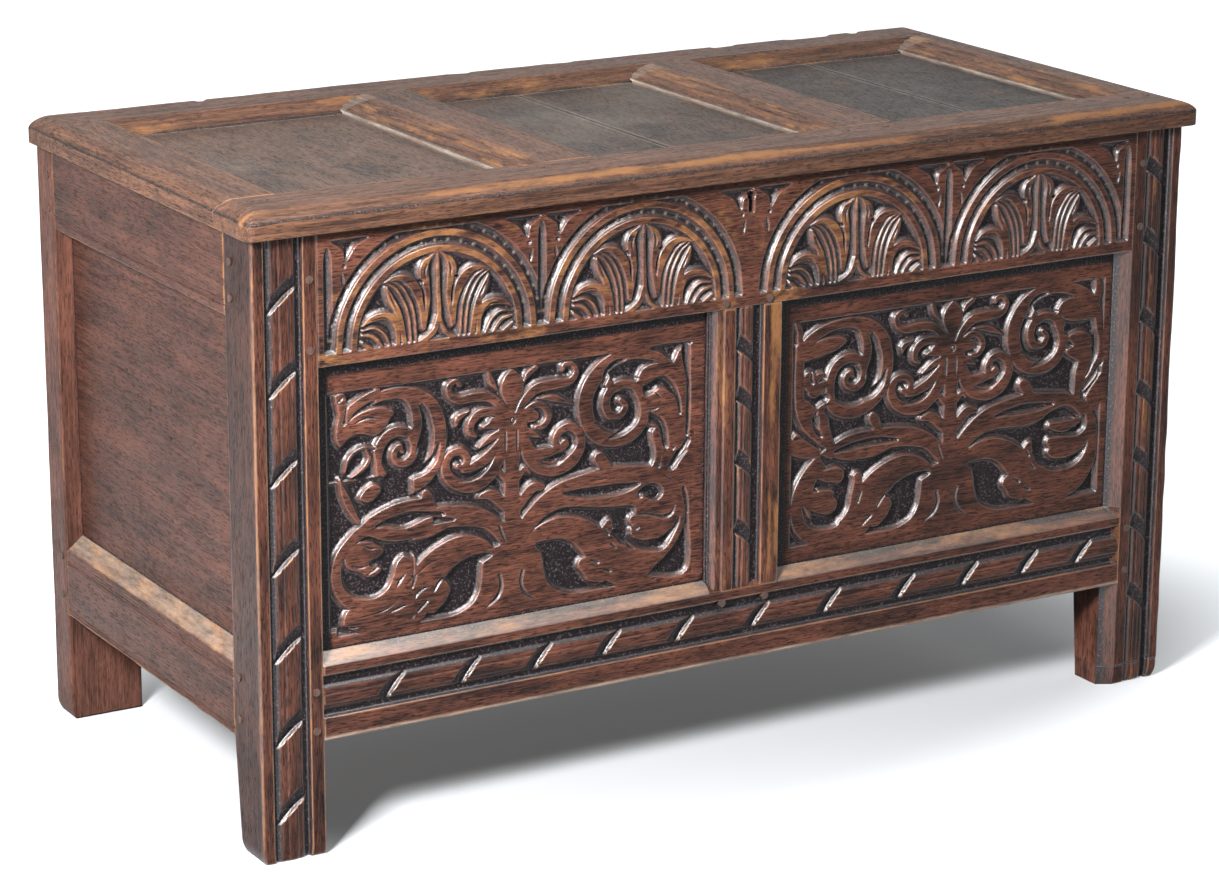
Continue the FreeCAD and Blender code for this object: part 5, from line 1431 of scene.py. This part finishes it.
def front_bottom_rail():
    """Rail with a bevel along its top, a nulled band and a pale lower edge that is painted light thrown up
    from the floor.
    """
    us = ruled(left_shoulder, right_face_edge, 1.0, (right_shoulder,))
    vs = ruled(low_rail_z, low_rail_top, 1.0, (low_rail_face, 199, 150))
    board = Board("front_bottom_rail", us, vs, front_rail_t, front_face, ALONG_X)
    u, v = board.u, board.v
    band = nulled_band(u, v, low_rail_scoops, edges=(152, 199.5), reed=(160, 187), lean=0.85, run=-1,
                       grooves=(165, 178), scoop=17)
    board.out += band
    board.grime_and_shade = wax_and_shade_in_hollows(band)
    board.out += np.where(v > low_rail_face, -(v - low_rail_face), 0)
    board.age(0.3)
    board.ease(0.6, 0.6, 1.8, 0.3)
    bevel = ramp(v, low_rail_face - 1, low_rail_face + 2)
    # Painted reflected light: the lower arris is made pale with dust and bared wood, in place of the light
    # the white floor throws up onto it.
    floor_lit_arris = ridge(v - low_rail_z - 2.5, 1.8)
    board.dust = 0.36 * bevel * (0.85 - 0.45 * ramp(u, -300, 500)) + 0.95 * floor_lit_arris
    board.bare = 0.6 * floor_lit_arris + 0.7 * bevel * (0.6 + 0.4 * speckle(u, v, 60, 9, 17))
    board.tint(0.12, 110, 25, -0.06)
    scribed_end(board)
    return board.build("oak_carved", CARVED, "carcase")


def front_muntin():
    """Upright between the panels, moulded on its left edge, with a nulled band."""
    us = ruled(muntin_left, muntin_right, 0.8, (-41.5, -38.5, -33.5, -29, -15, 22))
    vs = ruled(low_rail_face, front_rail_z, 1.0, (low_rail_top,))
    board = Board("front_muntin", us, vs, front_rail_t, front_face, ALONG_Z)
    u, v = board.u, board.v
    band = nulled_band(v, u, muntin_scoops, edges=(-15, 22), reed=(-10, 10), lean=-0.85, run=1,
                       grooves=(-3.5, 3.5), scoop=20)
    board.out += band
    board.grime_and_shade = wax_and_shade_in_hollows(band)
    board.out = np.minimum(board.out, np.interp(u - muntin_left, *zip(*muntin_mould_line)))
    board.age(0.2)
    board.ease(0.5, 2.0, 0.4, 0.4)
    board.thickness = np.where(v < low_rail_top, np.maximum(v - low_rail_face, 0.4), front_rail_t)
    rubbed = ramp(speckle(v, u, 70, 6, 19), -0.5, 0.6)
    ridges = ridge(u - 9, 3) + ridge(u + 9, 2) + ramp(u, 27, 34) + 0.7 * ramp(-20 - u, 0, 8)
    board.bare = 0.75 * np.clip(ridges, 0, 1) * rubbed * (board.out > -3.5)
    board.tint(0.12, 80, 26, -0.05)
    return board.build("oak_carved", CARVED, "carcase")


def front_panel(name, x0, x1, stem_x, lay, tone, seed):
    """Sunk panel carved with scrolling leaves."""
    us = ruled(x0 - panel_reach, x1 + panel_reach, carving_pitch)
    vs = ruled(low_rail_top - panel_reach, front_rail_z + panel_reach, carving_pitch)

    def place(u, v, out):
        return u, front + front_recess - out, v

    board = Board(name, us, vs, panel_t, place, ALONG_X)
    relief = Relief(us, vs)
    carve_panel(relief, stem_x, lay)
    if name == "front_panel_left":
        carve_left_side(relief)
        carve_right_side(relief)
    relief.inside -= arris_inset
    loss = relief.loss(panel_relief, gouge_wall)
    crown = 0.4 * (1 - np.clip(relief.inside / 4, 0, 1)) * (relief.inside > 0)
    sunk = ramp(loss, 2.0, panel_relief)
    board.age(0.35)
    board.out -= loss + crown + sunk * ground_texture(board.u, board.v, seed)
    # Painted shadow: the margins under the top rail and beside the stile are darkened almost to black, in
    # place of the shade the frame casts into the recess; the sunk ground is darkened by old wax.
    shadow_under_rail = 1 - ramp(front_rail_z - board.v, 10, 16)
    shadow_by_stile = 1 - ramp(board.u - x0, 13, 19)
    board.grime_and_shade = np.maximum(0.95 * sunk, np.maximum(shadow_under_rail, 0.9 * shadow_by_stile))
    board.edge_wear = 0.45
    board.around = (PROUD,) * 4
    board.tint(0.24, 90, seed, tone)
    return board.build("oak_carved", CARVED, "carcase")


# ---- side frames ---------------------------------------------------------------------------------
top_rail_lines = ((590.5, 1.3), (594.0, 0.8), (597.0, 1.0))
low_rail_lines = ((191.5, 1.2), (195.0, 0.8), (198.5, 1.1), (134.5, 1.2), (131.5, 0.7))
LEFT_CRACK = [(234, 442, 1.6), (120, 447, 1.4), (20, 449, 1.2), (-60, 455, 1.0), (-205, 466, 0.8)]
RIGHT_CRACK = [(234, 365, 1.2), (60, 372, 1.0), (-205, 377, 1.4)]
LEFT_HOLES = ((92, 450), (-26, 455), (62, 428), (30, 420), (96, 405), (-22, 400), (-80, 520))
hole_depth, hole_w = 2.5, 3.6


def scratch_lines(board, lines):
    """Fine mouldings run along a rail, each given by its height and depth."""
    for z, depth in lines:
        board.out -= depth * ridge(board.v - z, 0.9)


def side_top_rail(side, place, seed):
    board = Board(side + "_top_rail", ruled(side_front, side_back, 2.0),
                  ruled(side_top_z, carcase_top, 1.2, (583, 590, 594, 598)), side_rail_t, place, ALONG_Y)
    scratch_lines(board, top_rail_lines)
    board.out -= 1.6 * np.exp(-np.clip(board.v - side_top_z, 0, None) / 2.2)
    board.age(0.35)
    board.ease(0.7, 0.7, 1.0, 1.6)
    board.tint(0.12, 90, seed, 0.04)
    return board.build("oak_side", SIDE, "carcase")


def side_bottom_rail(side, place, seed):
    board = Board(side + "_bottom_rail", ruled(side_front, side_back, 2.0),
                  ruled(low_rail_z, side_panel_z, 1.2, (131, 134, 190, 194, side_low_face)), side_rail_t,
                  place, ALONG_Y)
    board.out -= np.clip(board.v - side_low_face, 0, None) * side_recess / (side_panel_z - side_low_face)
    scratch_lines(board, low_rail_lines)
    board.age(0.35)
    board.ease(0.7, 0.7, 1.8, 0.2)
    board.dust = 0.55 * ramp(board.v, side_low_face, side_low_face + 3)
    board.bare = 0.5 * ramp(board.v, side_low_face, side_low_face + 2)
    board.tint(0.12, 90, seed)
    return board.build("oak_side", SIDE, "carcase")


def side_panel(side, place, seed):
    def sunk(u, v, out):
        return place(u, v, out - side_recess)

    us = ruled(side_front - panel_reach, side_back + panel_reach, 1.6)
    vs = ruled(side_panel_z - panel_reach, side_top_z + panel_reach, 1.6)
    board = Board(side + "_panel", us, vs, panel_t, sunk, ALONG_Y)
    u, v = board.u, board.v
    relief = Relief(us, vs)
    if side == "left":
        relief.gouge(1.4, LEFT_CRACK)
        relief.gouge(hole_depth, *[[(y, z, hole_w), (y + 0.3, z, hole_w)] for y, z in LEFT_HOLES])
    else:
        relief.gouge(1.2, RIGHT_CRACK)
    board.age(0.5, 90)
    board.out -= relief.cut
    board.around = (PROUD,) * 4
    board.tint(0.16, 170, seed)
    board.tone += 0.1 * ramp(v, 380, 540) * ridge(u - 40, 120)
    board.tone -= 0.25 * ramp(speckle(u, v, 90, 12, seed + 1), 0.2, 0.9) * ramp(v, 520, 565)
    return board.build("oak_side", SIDE, "carcase")


# ---- back frame ----------------------------------------------------------------------------------
def back_stile(name, x0, x1, side_x):
    board = Board(name, ruled(x0, x1, 2.0), ruled(0, carcase_top, 2.5), back_stile_d, back_face, ALONG_Z)
    board.age(0.4)
    board.ease(1.8 if side_x < 0 else 0.6, 0.6 if side_x < 0 else 1.8, 1.6, 0.8)
    board.tint(0.16, 120, 27 + side_x, 0.45)
    board.touch = lambda points: round_foot(points, side_x, 1)
    return board.build("oak_side", SIDE, "carcase")


def back_top_rail():
    knots = [x + side * strap_half for x in strap_xs for side in (-1, 1)]
    board = Board("back_top_rail", ruled(back_left, back_right, 2.0, knots),
                  ruled(back_top_z, carcase_top, 2.0), back_rail_t, back_face, ALONG_X)
    board.age(0.5)
    board.ease(0.6, 0.6, 1.2, 0.8)

    def strap_seats(points):
        """Seats for the two hinge straps in the top edge."""
        for x in strap_xs:
            over = (np.abs(points[:, 0] - x) < strap_half + 0.1) & (points[:, 2] > strap_seat - seat_blend)
            share = (points[over, 2] - strap_seat + seat_blend) / (carcase_top - strap_seat + seat_blend)
            points[over, 2] = strap_seat - seat_blend + share * seat_blend
        return points

    board.touch = strap_seats
    board.tint(0.15, 150, 29)
    return board.build("oak_plain", PLAIN, "carcase")


def back_plain(name, x0, x1, z0, z1, axis, seed):
    board = Board(name, ruled(x0, x1, 2.0), ruled(z0, z1, 2.0), back_rail_t, back_face, axis)
    board.age(0.5)
    board.ease(0.7, 0.7, 0.9, 0.9)
    board.tint(0.15, 150, seed)
    return board.build("oak_plain", PLAIN, "carcase")


def back_panel(name, x0, x1, seed):
    def sunk(u, v, out):
        return back_face(u, v, out - back_recess)

    board = Board(name, ruled(x0 - panel_reach, x1 + panel_reach, 2.0),
                  ruled(back_low_top - panel_reach, back_top_z + panel_reach, 2.0), panel_t, sunk, ALONG_X)
    board.age(0.7, 60)
    board.around = (PROUD,) * 4
    board.tint(0.2, 180, seed)
    return board.build("oak_plain", PLAIN, "carcase")


# ---- lid -----------------------------------------------------------------------------------------
LID_DENTS = ((-470, 196), (-430, 204), (-128, 203), (-60, 197), (30, 206), (95, 198), (340, 205),
             (420, 198))
lid_clearance = 0.15         # the moulding lies this far inside the lid's outline
no_seam = 99.0               # distance that puts a seam out of reach where an edge lies in a groove


def thumb_moulded(board, front_edge=False):
    """Cut the thumb moulding that runs round the front and the ends of the lid."""
    runs, drops = zip(*thumb_line)
    edges = [board.u - lid_left, lid_right - board.u] + ([board.v - lid_front] if front_edge else [])
    for edge in edges:
        board.out = np.minimum(board.out, np.interp(edge, runs, drops) - lid_clearance)


def round_lid_corners(points):
    """Worn outer corners of the lid, rounded in plan."""
    x, y = points[:, 0].copy(), points[:, 1].copy()
    for side_x, edge_x in ((-1, lid_left), (1, lid_right)):
        for side_y, edge_y, radius in ((-1, lid_front, worn_corner_r), (1, lid_back, back_corner_r)):
            a = (x - edge_x) * -side_x
            b = (y - edge_y) * -side_y
            near = (a < radius) & (b < radius)
            p, q = radius - a[near], radius - b[near]
            far = np.maximum(np.maximum(p, q), tiny)
            shrink = far / np.maximum(np.hypot(p, q), tiny)
            points[near, 0] = edge_x - side_x * (radius - p * shrink)
            points[near, 1] = edge_y - side_y * (radius - q * shrink)
    return points


def lid_front_rail():
    board = Board("lid_front_rail", ruled(lid_left, lid_right, 1.6, (lid_left + 10, lid_right - 10)),
                  ruled(lid_front, lid_rail_front, 1.0), lid_t, lid_face, ALONG_X)
    u, v = board.u, board.v
    board.age(0.45)
    thumb_moulded(board, front_edge=True)
    board.ease(1.4, 1.4, 1.2, 1.1, 0.9)
    chips = ramp(speckle(u, v, 14, 30, 71), 0.62, 0.95) * np.exp(-(lid_rail_front - v) / 3)
    board.out -= 2.2 * chips
    board.bare = 0.9 * ridge(v - lid_front - 12, 9) * ramp(speckle(u, v, 90, 8, 72), -0.7, 0.4)
    board.bare = np.maximum(board.bare, 0.8 * np.exp(-(lid_rail_front - v) / 1.6))
    board.dust = 0.5 * np.exp(-(lid_rail_front - v) / 1.2)
    board.soil_share = lid_soil
    board.tint(0.1, 120, 73, 0.05)
    board.touch = round_lid_corners
    return board.build("oak_lid", LID_RAIL, "lid")


def lid_back_rail():
    board = Board("lid_back_rail", ruled(lid_left, lid_right, 1.8),
                  ruled(lid_rail_back, lid_back, 1.2, (lid_rail_back + lid_bevel_w,)), lid_t, lid_face,
                  ALONG_X)
    u, v = board.u, board.v
    slope = np.clip((lid_rail_back + lid_bevel_w - v) / lid_bevel_w, 0, 1)
    board.age(0.5)
    relief = Relief(board.us, board.vs)
    for x, y in LID_DENTS:
        relief.gouge(1.6, [(x, y, 3.5), (x + 9, y + 5, 6.5), (x + 15, y + 9, 2.5)])
    board.out -= relief.cut
    board.out -= lid_recess * slope
    thumb_moulded(board)
    chips = ramp(speckle(u, v, 23, 30, 74), 0.55, 0.95) * np.exp(-(lid_back - v) / 4)
    board.out -= 3.0 * chips
    board.ease(1.2, 1.2, 0.2, 1.6, 0.9)
    board.bare = 0.55 * (slope > 0.02) * ramp(speckle(u, v, 80, 14, 75), -0.6, 0.6)
    board.soil_share = lid_soil
    board.tint(0.1, 120, 76)
    board.touch = round_lid_corners
    return board.build("oak_lid", LID_RAIL, "lid")


def lid_upright(name, x0, width, moulded, seed):
    """End rail or muntin of the lid, its back end scribed over the back rail's bevel."""
    knots = [x0 + run for run, _ in lid_mould_line[1:]] if moulded else []
    board = Board(name, ruled(x0, x0 + width, 1.3, knots),
                  ruled(lid_rail_front, lid_rail_back + lid_bevel_w, 1.8, (lid_rail_back,)), lid_t, lid_face,
                  ALONG_Y)
    u, v = board.u, board.v
    board.age(0.4)
    if moulded:
        board.out = np.minimum(board.out, np.interp(u - x0, *zip(*lid_mould_line)) - 0.1)
    thumb_moulded(board)
    over = np.clip((lid_rail_back + lid_bevel_w - v) / lid_bevel_w, feather_share, 1)
    board.thickness = np.where(v > lid_rail_back, over * lid_recess, lid_t)
    board.thickness = np.maximum(board.thickness, thinnest - board.out)
    board.ease(1.0, 1.0, 0.7, 0.5)
    if moulded:
        board.dust = 0.8 * np.exp(-(u - x0) / 1.2) + 0.3 * (v > lid_rail_back - 3) * (u < x0 + lid_mould_w)
        board.bare = 0.55 * ramp(x0 + lid_mould_w + 3 - u, 0, 5) * ramp(speckle(v, u, 50, 5, seed), -0.5, 0.5)
    else:
        board.bare = 0.4 * np.exp(-(x0 + width - u) / 9)
    board.soil_share = lid_soil
    board.tint(0.1, 120, seed + 1)
    return board.build("oak_lid", LID_RAIL, "lid")


def lid_panel_board(name, x0, x1, ends, tone, seed):
    """ends says which edges lie in a groove: left, right."""
    x0 -= panel_reach if ends[0] else 0
    x1 += panel_reach if ends[1] else 0

    def sunk(u, v, out):
        return lid_face(u, v, out - lid_recess)

    board = Board(name, ruled(x0, x1, 2.0),
                  ruled(lid_rail_front - panel_reach, lid_rail_back + panel_reach, 2.0), lid_panel_t, sunk,
                  ALONG_Y)
    u, v = board.u, board.v
    board.age(0.5, 110)
    board.ease(0 if ends[0] else 1.0, 0 if ends[1] else 1.0, 0, 0)
    board.around = (PROUD if ends[0] else -1.0, PROUD if ends[1] else -1.0, PROUD, PROUD)
    nearest = np.minimum(v - lid_rail_front, lid_rail_back - v)
    if ends[0]:
        nearest = np.minimum(nearest, u - x0 - panel_reach)
    if ends[1]:
        nearest = np.minimum(nearest, x1 - panel_reach - u)
    board.dust = 0.8 * np.exp(-np.clip(nearest, 0, None) / 1.8)
    board.dust += 0.22 * ramp(cloud(u, v, 120, seed), -0.2, 0.9)
    board.bare = 0.3 * ramp(cloud(u, v, 70, seed + 4), 0.0, 0.8)
    seam = np.minimum(u - x0 + no_seam * ends[0], x1 - u + no_seam * ends[1])
    board.grime_and_shade = 0.95 * ridge(seam, 1.6)
    board.dust += 0.5 * ridge(seam - 4, 1.2)
    board.tint(0.2, 130, seed + 2, tone)
    return board.build("oak_lid", LID_PANEL, "lid")


def make_boards():
    left_front_stile()
    right_front_stile()
    right_foot_splice()
    front_top_rail()
    front_bottom_rail()
    front_muntin()
    # The left panel is toned lighter and the right darker: painted light, in place of the light that falls
    # off away from the lamp at the left.
    front_panel("front_panel_left", left_shoulder, muntin_left, -283, left_panel_lay, 0.12, 33)
    front_panel("front_panel_right", muntin_right, right_shoulder, 286, right_panel_lay, -0.12, 35)
    for side, place, seed in (("left", left_face, 40), ("right", right_face, 60)):
        side_top_rail(side, place, seed)
        side_bottom_rail(side, place, seed + 3)
        side_panel(side, place, seed + 7)
    back_stile("stile_back_left", left, back_left, -1)
    back_stile("stile_back_right", back_right, right, 1)
    back_top_rail()
    back_plain("back_bottom_rail", back_left, back_right, back_low_z, back_low_top, ALONG_X, 81)
    back_plain("back_muntin", -back_muntin_half, back_muntin_half, back_low_top, back_top_z, ALONG_Z, 82)
    back_panel("back_panel_left", back_left, -back_muntin_half, 83)
    back_panel("back_panel_right", back_muntin_half, back_right, 86)
    lid_front_rail()
    lid_back_rail()
    lid_upright("lid_left_rail", lid_left, lid_opening_left - lid_left, False, 91)
    lid_upright("lid_right_rail", lid_opening_right, lid_right - lid_opening_right, True, 93)
    lid_upright("lid_muntin_left", lid_muntins[0], lid_muntin_w, True, 95)
    lid_upright("lid_muntin_right", lid_muntins[1], lid_muntin_w, True, 97)
    middle = (lid_muntins[0] + lid_muntin_w, lid_muntins[1])
    last = (lid_muntins[1] + lid_muntin_w, lid_opening_right)
    # The lid panels are toned darker from left to right: partly their own tone, partly painted sheen that
    # falls off across the lid.
    lid_panel_board("lid_panel_left", lid_opening_left, lid_muntins[0], (True, True), 0.35, 101)
    for name, (x0, x1), share, tone, seed in (("middle", middle, 0.46, -0.3, 104),
                                              ("right", last, 0.52, -0.7, 108)):
        meet = x0 - lid_end_reach + (x1 - x0 + 2 * lid_end_reach) * share
        lid_panel_board("lid_panel_" + name + "_a", x0, meet - board_gap / 2, (True, False), tone, seed)
        lid_panel_board("lid_panel_" + name + "_b", meet + board_gap / 2, x1, (False, True), tone, seed + 2)


def finish_plain_parts():
    """The parts that keep their solids get the finish of their slot."""
    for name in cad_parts:
        piece = bpy.data.objects.get(name)
        if piece is None:
            continue
        if name.startswith("bottom_board_") and "nails" not in name:
            material = BOARD_OAK
        elif name.startswith("pegs_"):
            material = PEG_OAK
        elif name.startswith(("hinge_", "lock_", "staple_", "lid_staple")) or "nails" in name:
            material = IRON
        else:
            continue
        for slot in piece.material_slots:
            slot.material = material


make_boards()
finish_plain_parts()


# ---- stage, in metres ----------------------------------------------------------------------------
floor_reach = 30.0
floor_bounce, floor_seen = (0.14, 0.14, 0.14, 1), (0.55, 0.56, 0.58, 1)
glow_colour = (0.95, 0.985, 1, 1)
glow_under, glow_rise = 0.09, 0.94   # strength under the chest, and what is added far from it
shade_x, shade_y = 0.62, 0.34        # half sizes of the oval of floor that the chest shades
glow_starts, glow_full = 0.95, 1.75  # in those half sizes
world_colour, world_light = (0.90, 0.94, 1, 1), 0.05

# Each lamp: place, target, size, watts, whether reflections show it, whether it lights matt surfaces.
LAMPS = {
    "window_left": ((-2.05, -1.45, 1.60), (0, 0, 0.35), (0.5, 0.5), 200, True, True),
    "gleam_above": ((-0.45, -0.95, 2.1), (0, -0.25, 0.35), (1.6, 0.4), 120, True, False),
    "soft_top": ((0.5, 0.2, 3.2), (0, 0, 0.3), (2.4, 2.0), 8, False, True),
    "fill_front": ((1.4, -3.6, 1.5), (0, 0, 0.4), (2.0, 1.6), 3, False, True),
    "fill_right": ((3.4, 0.9, 1.5), (0, 0.1, 0.4), (2.0, 1.6), 32, False, True),
    "fill_back": ((0.9, 3.4, 2.2), (0, 0, 0.4), (2.4, 1.8), 40, False, True),
}

camera_turn, camera_tilt, camera_roll = math.radians(30.8), math.radians(16.4), math.radians(0.3)
camera_aim = Vector((0, -0.01355, 0.340))
camera_distance, camera_left, camera_down = 4.3277, 0.0159, 0.0337
sensor_w, focal_length, view_end = 36.0, 110.94, 100.0


def make_floor():
    """White ground that glows away from the chest and darkens under it."""
    mesh = bpy.data.meshes.new("studio_floor")
    corners = [(x * floor_reach, y * floor_reach, 0) for x, y in ((-1, -1), (1, -1), (1, 1), (-1, 1))]
    mesh.from_pydata(corners, [], [(0, 1, 2, 3)])
    floor = bpy.data.objects.new("studio_floor", mesh)
    bpy.context.scene.collection.objects.link(floor)
    material = bpy.data.materials.new("studio_floor")
    material.use_nodes = True
    tree = material.node_tree
    tree.nodes.clear()
    seen = seen_directly(tree)
    pale = mixed(tree, seen, floor_bounce, floor_seen)
    matt = put(tree, "ShaderNodeBsdfDiffuse", {"Color": pale}).outputs[0]
    spot = put(tree, "ShaderNodeTexCoord").outputs["Object"]
    scaled = stretched(tree, spot, (1 / shade_x, 1 / shade_y, 1))
    far = put(tree, "ShaderNodeVectorMath", {0: scaled}, operation="LENGTH").outputs["Value"]
    level = times(tree, stepped(tree, far, glow_starts, glow_full), glow_rise)
    level = plus(tree, level, glow_under)
    strength = times(tree, seen, level)
    glow = put(tree, "ShaderNodeEmission", {"Color": glow_colour, "Strength": strength}).outputs[0]
    both = put(tree, "ShaderNodeAddShader", {0: matt, 1: glow}).outputs[0]
    put(tree, "ShaderNodeOutputMaterial", {0: both})
    mesh.materials.append(material)


def make_world():
    """White where it is seen, faint where it lights."""
    world = bpy.data.worlds.new("studio")
    bpy.context.scene.world = world
    world.use_nodes = True
    tree = world.node_tree
    tree.nodes.clear()
    seen = seen_directly(tree)
    plain = put(tree, "ShaderNodeBackground", {"Color": world_colour, "Strength": world_light}).outputs[0]
    white = put(tree, "ShaderNodeBackground", {"Color": (1, 1, 1, 1), "Strength": 1.0}).outputs[0]
    both = put(tree, "ShaderNodeMixShader", {0: seen, 1: plain, 2: white}).outputs[0]
    put(tree, "ShaderNodeOutputWorld", {0: both})


def make_lamp(name, place, target, size, power, gloss, matt):
    lamp = bpy.data.lights.new(name, "AREA")
    lamp.shape = "RECTANGLE"
    lamp.size, lamp.size_y = size
    lamp.energy = power
    holder = bpy.data.objects.new(name, lamp)
    holder.visible_camera = False
    holder.visible_glossy = gloss
    holder.visible_diffuse = matt
    holder.location = place
    holder.rotation_euler = (Vector(target) - Vector(place)).to_track_quat("-Z", "Y").to_euler()
    bpy.context.scene.collection.objects.link(holder)


def make_camera():
    """Camera at the left front, looking slightly down."""
    flat = math.cos(camera_tilt)
    behind = Vector((-math.sin(camera_turn) * flat, -math.cos(camera_turn) * flat, math.sin(camera_tilt)))
    level = Vector((math.cos(camera_turn), -math.sin(camera_turn), 0))
    up = behind.cross(level)
    across = level * math.cos(camera_roll) + up * math.sin(camera_roll)
    upward = up * math.cos(camera_roll) - level * math.sin(camera_roll)
    lens = bpy.data.cameras.new("camera")
    lens.sensor_width = sensor_w
    lens.lens = focal_length
    lens.clip_end = view_end
    holder = bpy.data.objects.new("camera", lens)
    place = camera_aim - across * camera_left - upward * camera_down + behind * camera_distance
    axes = Matrix((across, upward, behind)).transposed()
    holder.matrix_world = Matrix.Translation(place) @ axes.to_4x4()
    bpy.context.scene.collection.objects.link(holder)
    bpy.context.scene.camera = holder


make_floor()
make_world()
for lamp_name, settings in LAMPS.items():
    make_lamp(lamp_name, *settings)
make_camera()
bpy.context.scene.view_settings.view_transform = "Standard"
